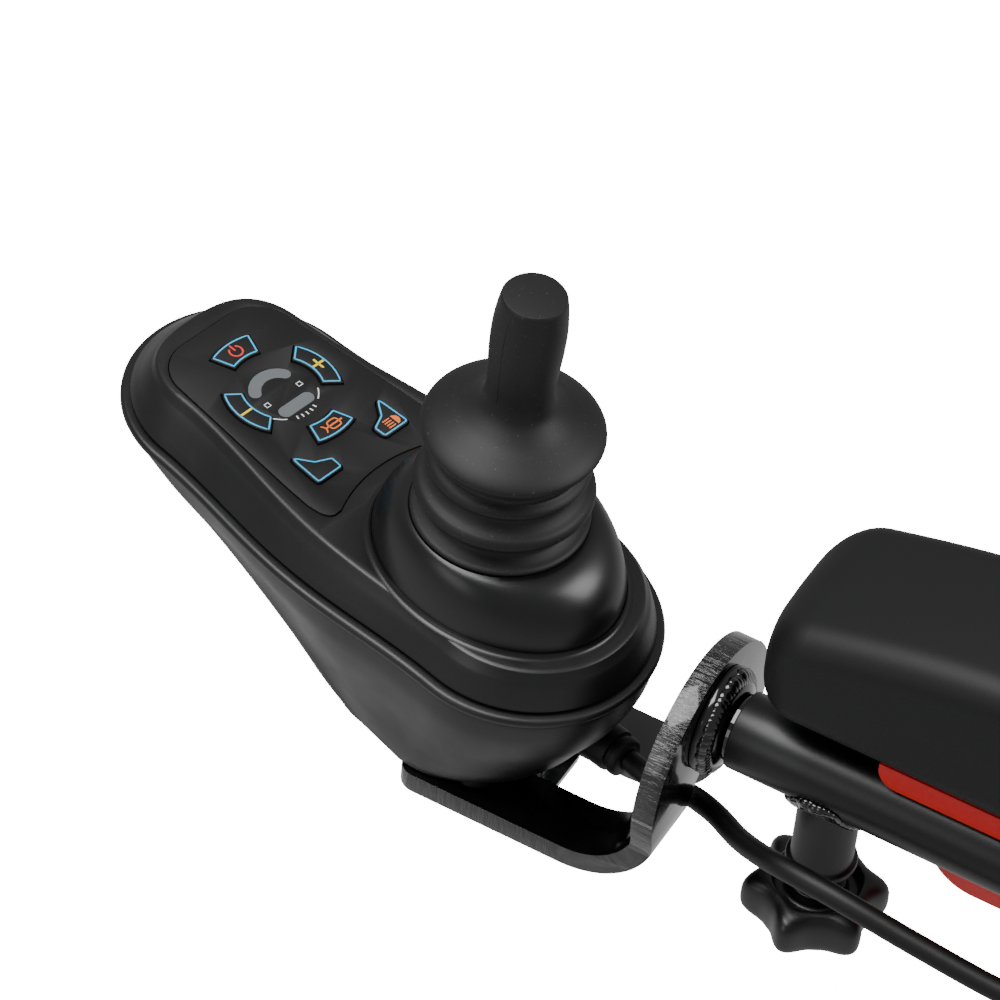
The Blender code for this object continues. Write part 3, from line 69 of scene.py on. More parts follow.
ARM = Matrix.Translation(ARM_ORIGIN) @ Matrix.Scale(MM, 4)
UNIT = ARM @ Matrix.Translation(UNIT_PLACE) @ turn(-UNIT_YAW, "Z")
TOP = UNIT @ Matrix.Translation((0, 0, RIM_Z)) @ turn(UNIT_TILT, "X")
STICK = TOP @ Matrix.Translation((0, STICK_Y, -RIM_Z))
ALONG_ARM = turn(-90, "X")    # a turned piece's height runs forward along the arm


# ---- camera, first -------------------------------------------------------------------------------
CAMERA_PLACE = Vector((-0.9286, -0.3654, 1.0860))
CAMERA_HEADING = 64.5
CAMERA_DIP = 45.4
CAMERA_ROLL = 5.85
CAMERA_LENS = 200.16


def make_camera():
    heading, dip = math.radians(CAMERA_HEADING), math.radians(CAMERA_DIP)
    ahead = Vector((math.sin(heading) * math.cos(dip), math.cos(heading) * math.cos(dip), -math.sin(dip)))
    right = Vector((math.cos(heading), -math.sin(heading), 0.0))
    up = right.cross(ahead)
    roll = math.radians(CAMERA_ROLL)
    rolled_right = right * math.cos(roll) + up * math.sin(roll)
    rolled_up = up * math.cos(roll) - right * math.sin(roll)
    basis = Matrix((rolled_right, rolled_up, -ahead)).transposed().to_4x4()
    camera = bpy.data.objects.new("camera", bpy.data.cameras.new("camera"))
    camera.data.lens = CAMERA_LENS
    camera.data.sensor_width = 36.0
    camera.data.clip_start = 0.05
    camera.data.clip_end = 50.0
    camera.matrix_world = Matrix.Translation(ARM_ORIGIN + CAMERA_PLACE) @ basis
    bpy.context.scene.collection.objects.link(camera)
    bpy.context.scene.camera = camera


make_camera()


# ---- materials -----------------------------------------------------------------------------------
def linear(hex_colour):
    """An sRGB hex colour as linear red, green, blue and alpha."""
    values = [int(hex_colour[i:i + 2], 16) / 255 for i in (1, 3, 5)]
    return tuple(v / 12.92 if v <= 0.04045 else ((v + 0.055) / 1.055) ** 2.4 for v in values) + (1.0,)


def add(tree, kind, settings=None, **inputs):
    """Adds a node, sets its properties and its sockets, and links the sockets given another's output."""
    node = tree.nodes.new(kind)
    for name, value in (settings or {}).items():
        setattr(node, name, value)
    for name, value in inputs.items():
        key = int(name[1:]) if name[0] == "_" else name.replace("_", " ")
        socket = node.inputs[key]
        if isinstance(value, bpy.types.NodeSocket):
            tree.links.new(value, socket)
        else:
            socket.default_value = value
    return node


def new_material(name, colour, roughness, metallic=0.0, **sockets):
    material = bpy.data.materials.new(name)
    material.use_nodes = True
    shader = material.node_tree.nodes["Principled BSDF"]
    shader.inputs["Base Color"].default_value = linear(colour)
    shader.inputs["Roughness"].default_value = roughness
    shader.inputs["Metallic"].default_value = metallic
    for key, value in sockets.items():
        shader.inputs[key.replace("_", " ")].default_value = value
    return material, material.node_tree, shader


def grain(tree, shader, size_mm, depth_mm, strength=1.0, stretch=(1, 1, 1), detail=2.0, before=None):
    """A bump whose bumps are size_mm across, on Object coordinates."""
    place = add(tree, "ShaderNodeTexCoord")
    mapping = add(tree, "ShaderNodeMapping", Vector=place.outputs["Object"], Scale=stretch)
    pattern = add(tree, "ShaderNodeTexNoise", Vector=mapping.outputs[0], Scale=1 / (size_mm * MM * 2),
                  Detail=detail)
    settings = {"Strength": strength, "Distance": depth_mm * MM, "Height": pattern.outputs["Fac"]}
    if before:
        settings["Normal"] = before
    bump = add(tree, "ShaderNodeBump", **settings)
    tree.links.new(bump.outputs[0], shader.inputs["Normal"])
    return bump, pattern


def mottle(tree, shader, socket, low, high, size_mm, sharp=(0.3, 0.7)):
    """Varies roughness or another number over the surface between low and high."""
    place = add(tree, "ShaderNodeTexCoord")
    pattern = add(tree, "ShaderNodeTexNoise", Vector=place.outputs["Object"], Scale=1 / (size_mm * MM * 2),
                  Detail=3.0)
    spread = add(tree, "ShaderNodeMapRange", _0=pattern.outputs["Fac"], _1=sharp[0], _2=sharp[1], _3=low,
                 _4=high)
    tree.links.new(spread.outputs[0], shader.inputs[socket])


def specks(tree, shader, base, speck, size_mm, share, at="Base Color"):
    """Sparse dust specks: the bright tips of a fine noise, mixed over the base colour."""
    place = add(tree, "ShaderNodeTexCoord")
    fine = add(tree, "ShaderNodeTexNoise", Vector=place.outputs["Object"], Scale=1 / (size_mm * MM * 2),
               Detail=1.0)
    mask = add(tree, "ShaderNodeMapRange", _0=fine.outputs["Fac"], _1=share, _2=share + 0.06, _3=0.0, _4=1.0)
    mix = add(tree, "ShaderNodeMix", {"data_type": "RGBA"}, _0=mask.outputs[0], _6=linear(base),
              _7=linear(speck))
    tree.links.new(mix.outputs[2], shader.inputs[at])


def make_materials():
    made = {}
    # Moulded ABS with a fine spark-eroded texture: a dull, broad sheen. The grain is drawn at 0.35 mm.
    made["case_abs"], tree, shader = new_material("spark_textured_abs", "#0c0c0d", 0.42, IOR=1.5)
    grain(tree, shader, 0.35, 0.012, 0.6)
    mottle(tree, shader, "Roughness", 0.36, 0.46, 9.0)
    # The dome's polished mould shows a tighter highlight.
    made["dome_abs"], tree, shader = new_material("semi_gloss_abs", "#0b0b0c", 0.3, IOR=1.5)
    grain(tree, shader, 0.5, 0.006, 0.5)
    mottle(tree, shader, "Roughness", 0.27, 0.36, 12.0)
    # Silicone keypad skin: very dull, with almost no grain.
    made["keypad"], tree, shader = new_material("moulded_silicone", "#0a0a0a", 0.55, IOR=1.42)
    grain(tree, shader, 0.3, 0.008, 0.5)
    made["gap"], tree, shader = new_material("shadow_gap_rubber", "#050506", 0.8)
    # Screen-printed inks on the keypad.
    for key, colour in (("ink_blue", "#2aa9dc"), ("ink_red", "#d2352c"), ("ink_yellow", "#e6c81e"),
                        ("ink_orange", "#e5702c"), ("ink_white", "#d6d8da")):
        made[key], tree, shader = new_material("screen_" + key, colour, 0.45)
    # Frosted polycarbonate light window.
    made["window"], tree, shader = new_material("frosted_polycarbonate", "#5d6163", 0.35, IOR=1.58)
    # Moulded rubber of grip and bellows: a soft dull black that holds dust.
    made["rubber"], tree, shader = new_material("moulded_rubber", "#090909", 0.55, IOR=1.45)
    grain(tree, shader, 0.25, 0.012, 0.5)
    specks(tree, shader, "#090909", "#3a3a3b", 0.32, 0.72)
    # Thick glossy enamel on hot-rolled plate: sharp reflections over a slightly wavy surface.
    made["enamel"], tree, shader = new_material("gloss_enamel", "#060606", 0.13, IOR=1.5, Coat_Weight=0.6,
                                                Coat_Roughness=0.05)
    wavy, pattern = grain(tree, shader, 7.0, 0.25, 0.35)
    grain(tree, shader, 0.8, 0.03, 0.5, before=wavy.outputs[0])
    # The flame-cut edge under the same enamel: drag lines across the plate, about 1.5 mm apart.
    made["cut_edge"], tree, shader = new_material("flame_cut_edge_enamel", "#070707", 0.16, IOR=1.5,
                                                  Coat_Weight=0.6, Coat_Roughness=0.07)
    run = add(tree, "ShaderNodeAttribute", {"attribute_name": "edge_run"})
    lines = add(tree, "ShaderNodeTexNoise", Vector=run.outputs["Vector"], Scale=0.55, Detail=4.0,
                Roughness=0.62)
    bump = add(tree, "ShaderNodeBump", Strength=1.0, Distance=1.1 * MM, Height=lines.outputs["Fac"])
    tree.links.new(bump.outputs[0], shader.inputs["Normal"])
    # Satin powder coat on tube: a fine orange peel.
    made["powder"], tree, shader = new_material("satin_powder_coat", "#050506", 0.36, IOR=1.45)
    grain(tree, shader, 0.8, 0.02, 0.5)
    # Black skin on foam: a fine leather grain, dull.
    made["pad_skin"], tree, shader = new_material("grained_pu_skin", "#0b0b0c", 0.55, IOR=1.38)
    place = add(tree, "ShaderNodeTexCoord")
    cells = add(tree, "ShaderNodeTexVoronoi", {"feature": "DISTANCE_TO_EDGE"}, Vector=place.outputs["Object"],
                Scale=1 / (1.1 * MM))
    bump = add(tree, "ShaderNodeBump", Strength=0.25, Distance=0.05 * MM, Height=cells.outputs["Distance"])
    grain(tree, shader, 0.5, 0.02, 0.35, before=bump.outputs[0])
    # Red moulded polypropylene: satin, evenly coloured.
    made["red"], tree, shader = new_material("red_polypropylene", "#d40b05", 0.36, IOR=1.45,
                                             Subsurface_Weight=0.04)
    grain(tree, shader, 0.6, 0.008, 0.4)
    # Glass-filled nylon of knob, plugs and clips.
    made["nylon"], tree, shader = new_material("glass_filled_nylon", "#060607", 0.34, IOR=1.53)
    grain(tree, shader, 0.5, 0.015, 0.5)
    made["cable"], tree, shader = new_material("soft_pvc_sheath", "#040404", 0.5, IOR=1.42)
    grain(tree, shader, 0.5, 0.012, 0.5)
    # Bright zinc plate: a grey, slightly cloudy metal.
    made["zinc"], tree, shader = new_material("bright_zinc_plate", "#b9bcbf", 0.28, 1.0)
    mottle(tree, shader, "Roughness", 0.22, 0.38, 3.0)
    made["brass"], tree, shader = new_material("turned_brass", "#c9a45a", 0.25, 1.0)
    made["board"], tree, shader = new_material("solder_masked_board", "#1c5a34", 0.4)
    return made


MAT = make_materials()


# ---- shape helpers -------------------------------------------------------------------------------
def arc(cx, cy, radius, start, end, count):
    step = (end - start) / (count - 1)
    return [(cx + radius * math.cos(math.radians(start + step * i)),
             cy + radius * math.sin(math.radians(start + step * i))) for i in range(count)]


def smooth(points, per_span=6, closed=False):
    """Points on one smooth curve through the given ones, of any number of coordinates."""
    knots = [Vector(p) for p in points]
    if closed:
        ends = [knots[-1]] + knots + knots[:2]
    else:
        ends = [knots[0] * 2 - knots[1]] + knots + [knots[-1] * 2 - knots[-2]]
    found = []
    for p0, p1, p2, p3 in zip(ends, ends[1:], ends[2:], ends[3:]):
        for k in range(per_span):
            t = k / per_span
            found.append(0.5 * ((2 * p1) + (p2 - p0) * t + (2 * p0 - 5 * p1 + 4 * p2 - p3) * t ** 2
                                + (3 * p1 - p0 - 3 * p2 + p3) * t ** 3))
    return found if closed else found + [knots[-1]]


def new_object(name, bm, place, material, crease=35):
    """A mesh object at the origin, its place in its mesh, with sharp edges past the crease angle."""
    bmesh.ops.recalc_face_normals(bm, faces=bm.faces)
    mesh = bpy.data.meshes.new(name)
    bm.to_mesh(mesh)
    bm.free()
    mesh.transform(place)
    if material:
        mesh.materials.append(MAT[material])
    mesh.shade_smooth()
    mesh.set_sharp_from_angle(angle=math.radians(crease))
    obj = bpy.data.objects.new(name, mesh)
    bpy.context.scene.collection.objects.link(obj)
    return obj


def loft(name, rings, place, material, closed=False, caps=True, crease=35):
    bm = bmesh.new()
    loops = [[bm.verts.new(p) for p in ring] for ring in rings]
    pairs = list(zip(loops, loops[1:]))
    if closed:
        pairs.append((loops[-1], loops[0]))
    for first, second in pairs:
        for i, vert in enumerate(first):
            j = (i + 1) % len(first)
            bm.faces.new((vert, first[j], second[j], second[i]))
    if caps and not closed:
        bm.faces.new(loops[0])
        bm.faces.new(loops[-1])
    return new_object(name, bm, place, material, crease)


def turned(name, profile, place, material, steps=96, crease=40):
    """A (radius, height) outline turned about the height; open outlines start and end on the axis."""
    rings = [[(r * math.cos(2 * math.pi * i / steps), r * math.sin(2 * math.pi * i / steps), z)
              for i in range(steps)] for r, z in profile if r > 0]
    on_axis = profile[0][0] == 0
    obj = loft(name, rings, place, material, closed=not on_axis, caps=on_axis, crease=crease)
    return obj


def prism(name, outline, low, high, place, material, axis="Z", crease=35):
    def at(u, v, w):
        return {"Z": (u, v, w), "X": (w, u, v), "Y": (u, w, v)}[axis]
    return loft(name, [[at(u, v, low) for u, v in outline], [at(u, v, high) for u, v in outline]], place,
                material, crease=crease)


def rod(name, radius, low, high, place, material=None, at=(0, 0), axis="Z", sides=64):
    return prism(name, arc(at[0], at[1], radius, 0, 360 - 360 / sides, sides), low, high, place, material,
                 axis)


def settle(obj):
    """Turns an object with modifiers into a plain mesh and drops the modifiers."""
    bpy.context.view_layer.update()
    mesh = bpy.data.meshes.new_from_object(obj.evaluated_get(bpy.context.evaluated_depsgraph_get()))
    obj.modifiers.clear()
    obj.data = mesh
    return obj


def carve(obj, cutters, operation="DIFFERENCE"):
    """Booleans the cutters with obj and removes them."""
    for cutter in cutters:
        step = obj.modifiers.new("carve", "BOOLEAN")
        step.operation = operation
        step.solver = "EXACT"
        step.object = cutter
    settle(obj)
    for cutter in cutters:
        bpy.data.objects.remove(cutter)
    return obj


def soften(obj, width_mm, segments=3, angle=40, crease=40):
    """Rounds the sharp edges."""
    bevel = obj.modifiers.new("edges", "BEVEL")
    bevel.width = width_mm * MM
    bevel.segments = segments
    bevel.limit_method = "ANGLE"
    bevel.angle_limit = math.radians(angle)
    bevel.harden_normals = False
    settle(obj)
    obj.data.shade_smooth()
    obj.data.set_sharp_from_angle(angle=math.radians(crease))
    return obj


def join(name, pieces):
    """Several meshes made one object, with all their materials."""
    bm = bmesh.new()
    slots = []
    for piece in pieces:
        start = len(bm.faces)
        bm.from_mesh(piece.data)
        bm.faces.ensure_lookup_table()
        for face in bm.faces[start:]:
            material = piece.data.materials[face.material_index]
            if material not in slots:
                slots.append(material)
            face.material_index = slots.index(material)
    mesh = bpy.data.meshes.new(name)
    bm.to_mesh(mesh)
    bm.free()
    for material in slots:
        mesh.materials.append(material)
    for piece in pieces:
        bpy.data.objects.remove(piece)
    obj = bpy.data.objects.new(name, mesh)
    bpy.context.scene.collection.objects.link(obj)
    return obj


def place_piece(obj, body, slot, *nodes):
    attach(obj, body)
    if nodes:
        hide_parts(*nodes)
    return obj


# ---- cable, made first after the camera ----------------------------------------------------------
CABLE_RADIUS = 3.15
CORD_GAP = 0.3
GLAND_SIDE = 9.5
GLAND_TIP = -33.0
GLAND_Z = -32.0
CONNECTOR_FRONT = 214.0
CONNECTOR_AT = (-18.2, -10.0)


def unit_point(x, y, z):
    return ARM.inverted() @ UNIT @ Vector((x, y, z))


# The same points that the frame's cable follows, in the arm's frame.
CABLE_ROUTE = [unit_point(GLAND_SIDE, GLAND_TIP - CORD_GAP, GLAND_Z),
               unit_point(GLAND_SIDE, GLAND_TIP - 9.0, GLAND_Z), (-1.2, 12.0, -32.4), (-5.5, 2.0, -29.8),
               (-12.0, -8.0, -27.0), (-18.4, -17.0, -21.6), (-24.0, -28.0, -16.0), (-26.6, -45.0, -14.6),
               (-27.2, -68.0, -17.2), (-27.0, -96.0, -20.0), (-25.6, -122.0, -19.2), (-22.0, -146.0, -15.6),
               (-17.2, -166.0, -11.2), (-16.4, -184.0, -10.2), (CONNECTOR_AT[0], -204.0, CONNECTOR_AT[1]),
               (CONNECTOR_AT[0], -CONNECTOR_FRONT + CORD_GAP, CONNECTOR_AT[1])]


def make_cable():
    points = [ARM @ p for p in smooth(CABLE_ROUTE, 7)]
    curve = bpy.data.curves.new("cable_sheath", "CURVE")
    curve.dimensions = "3D"
    spline = curve.splines.new("POLY")
    spline.points.add(len(points) - 1)
    for target, point in zip(spline.points, points):
        target.co = (*point, 1.0)
    curve.bevel_depth = CABLE_RADIUS * MM
    curve.bevel_resolution = 8
    curve.use_fill_caps = True
    curve.materials.append(MAT["cable"])
    obj = bpy.data.objects.new("cable_sheath", curve)
    bpy.context.scene.collection.objects.link(obj)
    place_piece(obj, "armrest", "cable_sheath", "cable")
    return obj


make_cable()


# ---- control unit: the case ----------------------------------------------------------------------
RIM_REAR_RADIUS = 37.7
RIM_FRONT_RADIUS = 34.8
RIM_LENGTH = 106.0
SIDE_BULGE = 3.6
BAND_HEIGHT = 3.0
TOP_RISE = 13.8
TOP_WALL = 3.8
WALL = 2.4
GAP = 0.3
HULL_BASE = -43.2
HULL_TOP = RIM_Z - BAND_HEIGHT / 2 - GAP
TILT_SLOPE = math.tan(math.radians(UNIT_TILT))
# height, rear and front radius, length, start, bulge, share of the tilt
HULL_SECTIONS = [
    (HULL_BASE + 1.2, 28.5, 26.5, 16.0, 16.0, 0.0, 0.0),
    (HULL_BASE + 5.0, 29.5, 26.5, 27.5, 12.5, 0.2, 0.05),
    (HULL_BASE + 10.0, 30.4, 26.6, 38.0, 9.5, 0.6, 0.12),
    (HULL_BASE + 15.0, 31.2, 26.9, 47.5, 7.5, 1.0, 0.22),
    (HULL_BASE + 21.0, 32.4, 27.8, 58.6, 5.0, 1.6, 0.36),
    (HULL_BASE + 27.0, 33.8, 28.8, 70.2, 2.8, 2.2, 0.52), (HULL_BASE + 33.0, 35.0, 30.0, 82.6, 1.4, 2.8, 0.7),
    (HULL_BASE + 38.5, 35.9, 31.7, 95.0, 0.5, 3.2, 0.86), (HULL_TOP - 2.6, 36.3, 33.0, 103.5, 0.0, 3.5, 1.0),
    (HULL_TOP, 36.4, 33.6, 106.0, 0.0, 3.6, 1.0)]
CASE_SCREWS = [(-18.0, 72.0, -22.0), (18.0, 72.0, -22.0), (-17.0, -2.0, -33.0), (17.0, -2.0, -33.0)]
MOUNT_SCREWS = [(0.0, 58.0), (0.0, 70.0)]
SOCKET_PLACE = (0.0, 104.0, -8.2)
SOCKET_LEAN = 25.0
SOCKET_RADIUS = 8.0
GLAND_RADIUS = 6.4


def capsule(rear, front, length, start=0.0, bulge=0.0, inset=0.0, nose=0.0, square=0.0, fine=40):
    """The control unit's plan; nose insets the nose further, and square fills out its corners."""
    rear, front = rear - inset, front - inset - nose
    side = []
    for k in range(1, fine):
        t = k / fine
        side.append((rear + (front - rear) * t + bulge * math.sin(math.pi * t) ** 2, start + length * t))
    mirrored = [(-x, y) for x, y in reversed(side)]
    tip = []
    for k in range(49):
        angle = math.pi * k / 48
        reach = front + square * math.sin(2 * angle) ** 2
        tip.append((reach * math.cos(angle), start + length + reach * math.sin(angle)))
    return arc(0, start, rear, 180, 360, 49) + side + tip + mirrored


def hull_ring(section, inset=0.0, lift=0.0):
    z, rear, front, length, start, bulge, share = section
    return [(x, y, z + lift + TILT_SLOPE * y * share) for x,
            y in capsule(rear, front, length, start, bulge, inset)]


def make_lower_shell():
    skin = [tuple(s) for s in smooth(HULL_SECTIONS, 5)]
    foot = skin[0]
    rings = [hull_ring(foot, inset, -lift) for inset, lift in ((1.2, 1.2), (0.55, 1.05), (0.15, 0.6))]
    rings += [hull_ring(s) for s in skin[:-1]]
    rings += [hull_ring(skin[-1], 0.0, -0.5), hull_ring(skin[-1], 0.15, -0.15), hull_ring(skin[-1], 0.5, 0.0)]
    rings += [hull_ring(s, WALL) for s in reversed(skin[2:])]
    shell = loft("hull", rings, UNIT, "case_abs", crease=30)
    cutters = []
    for x, y, head in CASE_SCREWS:
        cutters.append(rod("c", 3.3, HULL_BASE - 10, head, UNIT, at=(x, y), sides=40))
    cutters.append(rod("c", GLAND_RADIUS + GAP, GLAND_TIP - 10, GLAND_TIP + 20, UNIT,
                       at=(GLAND_SIDE, GLAND_Z), axis="Y"))
    for at in MOUNT_SCREWS:
        cutters.append(rod("c", 2.8, HULL_BASE - 10, HULL_BASE + 8, ARM, at=at, sides=40))
    socket = UNIT @ Matrix.Translation(SOCKET_PLACE) @ turn(SOCKET_LEAN, "X")
    cutters.append(rod("c", SOCKET_RADIUS + GAP, -14, 14, socket))
    carve(shell, cutters)
    shell.data.shade_smooth()
    shell.data.set_sharp_from_angle(angle=math.radians(30))
    sleeves = []
    for x, y, head in CASE_SCREWS:
        low = HULL_BASE + 1.0 if y < 30 else head - 3.5
        sleeves.append(turned("s", [(5.6, head + 9), (5.6, low), (3.3, low), (3.3, head), (1.9, head),
                                    (1.9, head + 9)],
                              UNIT @ Matrix.Translation((x, y, 0)), "case_abs", 40))
    hull = join("lower_case_shell", [shell] + sleeves)
    return place_piece(hull, "control", "black_abs", "lower_shell")


def rim_ring(z, inset=0.0, nose=0.0, square=0.0):
    return [(x, y, z) for x, y in capsule(RIM_REAR_RADIUS, RIM_FRONT_RADIUS, RIM_LENGTH, 0.0, SIDE_BULGE,
                                          inset, nose, square)]


DOME_HALF_WIDTH = 30.0
DOME_HALF_LENGTH = 38.0
DOME_Y = 12.2
DOME_RISE = 32.2
BOOT_RADIUS = 24.2


def dome_ring(t, z, inset=0.0, count=180):
    mouth = BOOT_RADIUS + 0.4
    half_x = DOME_HALF_WIDTH + (mouth - DOME_HALF_WIDTH) * t - inset
    half_y = DOME_HALF_LENGTH + (mouth - DOME_HALF_LENGTH) * t - inset
    centre = DOME_Y + (STICK_Y - DOME_Y) * t
    return [(half_x * math.cos(2 * math.pi * i / count),
             centre + half_y * math.sin(2 * math.pi * i / count), z)
            for i in range(count)]


def dome_rows(inset=0.0, lift=0.0, count=20):
    foot = TOP_RISE - 1.5
    rows = []
    for step in range(count):
        angle = math.radians(82 * step / (count - 1))
        t = (1 - math.cos(angle)) / (1 - math.cos(math.radians(82)))
        z = foot + (DOME_RISE - foot) * math.sin(angle) / math.sin(math.radians(82))
        rows.append(dome_ring(t, z + lift, inset))
    return rows


def make_upper_shell():
    low = BAND_HEIGHT / 2 + 1.1
    rise = TOP_RISE
    # height, inset, further inset of the nose, fullness of its corners: the side, its chamfer, the flat
    outer = [(low, 2.9, 0.0, 0.0), (low + 0.3, 2.6, 0.0, 0.0), (rise - 9.0, 3.15, 1.1, 0.3),
             (rise - 6.8, 3.9, 2.2, 0.8), (rise - 4.8, 4.6, 3.2, 1.3), (rise - 3.4, 5.15, 3.95, 1.6),
             (rise - 2.9, 5.45, 4.2, 1.8), (rise - 2.5, 5.8, 4.25, 1.9), (rise - 1.0, 6.6, 4.35, 2.3),
             (rise - 0.4, 7.0, 4.4, 2.4), (rise - 0.1, 7.5, 4.4, 2.5), (rise, 8.3, 4.4, 2.5)]
    top = loft("top", [rim_ring(*row) for row in outer], TOP, "case_abs", caps=True)
    cavity = loft("c", [rim_ring(low - 4.0, 2.6 + WALL), rim_ring(rise - 7.6, 4.0 + WALL, 2.6, 0.8),
                        rim_ring(rise - TOP_WALL, 6.0 + WALL, 4.2, 1.8)], TOP, None)
    under_dome = loft("c", [dome_ring(0.0, rise - 12.0, 1.2), dome_ring(0.0, rise + 40.0, 1.2)], TOP, None)
    seat = prism("c", panel_outline(GAP), rise - 2.2 - GAP, rise + 8.0, TOP, None)
    window = prism("c", panel_outline(-1.6), 0.0, rise + 8.0, TOP, None)
    carve(top, [cavity, under_dome, seat, window])
    soften(top, 0.25, 2, 50, crease=25)
    outside = [dome_ring(0.0, rise - 4.0, 0.9), dome_ring(0.0, rise - 2.5)] + dome_rows()
    mouth = DOME_RISE
    lip = [dome_ring(1.0, mouth - 0.2, 0.7), dome_ring(1.0, mouth - 0.9, 1.0),
           dome_ring(1.0, mouth - 1.4, 3.0)]
    dome = loft("dome", outside + lip + list(reversed(dome_rows(WALL, -WALL))), TOP, "dome_abs", closed=True,
                crease=32)
    fillet = loft("fillet", dome_fillet(), TOP, "dome_abs", closed=True, crease=50)
    shell = join("upper_case_shell", [top, dome, fillet])
    return place_piece(shell, "control", "black_abs", "upper_shell")


def dome_fillet(radius=1.8, steps=6):
    """A concave fillet where the dome meets the flat top."""
    rings = []
    for k in range(steps + 1):
        angle = math.radians(90 * k / steps)
        rings.append(dome_ring(0.0, TOP_RISE + radius * (1 - math.cos(angle)),
                               -radius * (1 - math.sin(angle))))
    rings.append(dome_ring(0.0, TOP_RISE - 0.6, 0.6))
    return rings


def make_rim_band():
    half = BAND_HEIGHT / 2
    section = [(-half, 1.5), (-half + 0.1, 0.9), (-half + 0.5, 0.3), (-half + 1.1, 0.02), (half - 1.1, 0.02),
               (half - 0.5, 0.3), (half - 0.1, 0.9), (half, 1.5), (half, 4.4), (-half, 4.4)]
    band = loft("case_rim_band", [rim_ring(z, inset) for z, inset in section], TOP, "case_abs", closed=True)
    place_piece(band, "control", "black_abs", "rim_band")
    seal_low = half + 0.05
    seal = loft("case_seal", [rim_ring(seal_low, 3.4), rim_ring(half + 1.0, 3.4), rim_ring(half + 1.0, 4.6),
                              rim_ring(seal_low, 4.6)], TOP, "gap", closed=True)
    place_piece(seal, "control", "black_rubber", "shell_gasket")


# ---- keypad --------------------------------------------------------------------------------------
PANEL_HALF = 25.0
PANEL_FRONT = 123.4
PANEL_NOSE_HALF = 21.0
PANEL_NOSE_CORNER = 12.0
PANEL_CORNER_Y = 52.0
PANEL_HOLLOW = 43.6
PANEL_HOLLOW_Y = 13.0
RING_Y = 93.6
WINDOW_X = -1.0
SKIN = TOP_RISE + 0.25
BUTTON_TOP = TOP_RISE + 0.95
INK = 0.06


def panel_outline(grow):
    """The keypad's outline: wider at the rear, with its rear edge hollowed round the joystick."""
    half = PANEL_HALF + grow
    corner = PANEL_NOSE_CORNER + grow
    side_x = PANEL_NOSE_HALF - PANEL_NOSE_CORNER
    front_y = PANEL_FRONT - PANEL_NOSE_CORNER
    tip = arc(side_x, front_y, corner, 5, 90, 25)
    right = smooth([(half, PANEL_CORNER_Y + 7.0), (half - 0.3, PANEL_CORNER_Y + 14.0),
                    (half - 1.4, PANEL_CORNER_Y + 28.0), (half - 2.9, PANEL_CORNER_Y + 46.0),
                    tip[0]], 5)[:-1]
    right = [tuple(p) for p in right] + tip
    left = [(-x, y) for x, y in reversed(right)]
    rear = PANEL_CORNER_Y - grow
    hollow = PANEL_HOLLOW - grow
    lean = math.degrees(math.asin((half - 5.6) / hollow))
    back = arc(0.0, PANEL_HOLLOW_Y, hollow, 90 + lean, 90 - lean, 33)
    end = [tuple(p) for p in smooth([back[-1], (half - 2.5, rear + 0.2), (half - 0.7, rear + 2.7),
                                     right[0]], 4)][1:-1]
    start = [(-x, y) for x, y in reversed(end)]
    return right + left + start + back + end


def segment(radius_in, radius_out, middle, spread, squeeze=1.0, count=13):
    inner = arc(0, 0, radius_in, middle + spread * squeeze, middle - spread * squeeze, count)
    outer = arc(0, 0, radius_out, middle - spread, middle + spread, count)
    return [(x, RING_Y + y) for x, y in inner + outer]


def rounded(corners, radius, count=7):
    points = []
    for i, corner in enumerate(corners):
        here = Vector(corner)
        before = (Vector(corners[i - 1]) - here).normalized()
        after = (Vector(corners[(i + 1) % len(corners)]) - here).normalized()
        back = radius / math.tan(before.angle(after) / 2)
        start, finish = here + before * back, here + after * back
        for k in range(count):
            t = k / (count - 1)
            points.append(tuple(here * (2 * t * (1 - t)) + start * (1 - t) ** 2 + finish * t ** 2))
    return points


def offset(outline, by):
    """An anticlockwise outline grown by a distance."""
    moved = []
    for i, point in enumerate(outline):
        here = Vector(point)
        first = here - Vector(outline[i - 1])
        second = Vector(outline[(i + 1) % len(outline)]) - here
        n1, n2 = Vector((first.y, -first.x)).normalized(), Vector((second.y, -second.x)).normalized()
        normal = (n1 + n2).normalized()
        moved.append(tuple(here + normal * by / max(0.6, normal.dot(n1))))
    return moved


LAMP_KEY = [(17.8, 62.2), (17.2, 75.4), (12.6, 69.0), (7.8, 66.8), (8.0, 62.2)]
BUTTONS = {
    "power": (segment(14.4, 21.9, 90, 20, 0.97), "power_button"),
    "horn": (segment(15.0, 22.0, 270, 19, 0.97), "horn_button"),
    "plus": (segment(11.0, 16.9, 0, 34, 0.92), "plus_button"),
    "minus": (segment(11.0, 16.9, 180, 34, 0.92), "minus_button"),
    "light": (rounded(LAMP_KEY, 1.4), "light_button"),
    "spare": (rounded([(-x, y) for x, y in reversed(LAMP_KEY)], 1.4), "spare_button"),
}


def line_strip(points, width, low, high, material, closed=False):
    """A flat printed line of a given width along points."""
    count = len(points)
    left, right = [], []
    for i, point in enumerate(points):
        here = Vector(point)
        before = Vector(points[i - 1]) if (i or closed) else here
        after = Vector(points[(i + 1) % count]) if (i < count - 1 or closed) else here
        ahead = (after - before).normalized()
        side = Vector((-ahead.y, ahead.x)) * width / 2
        left.append(here + side)
        right.append(here - side)
    rings = [[(a.x, a.y, low), (a.x, a.y, high), (b.x, b.y, high), (b.x, b.y, low)] for a,
             b in zip(left, right)]
    return loft("ink", rings, TOP, material, closed=closed, crease=30)


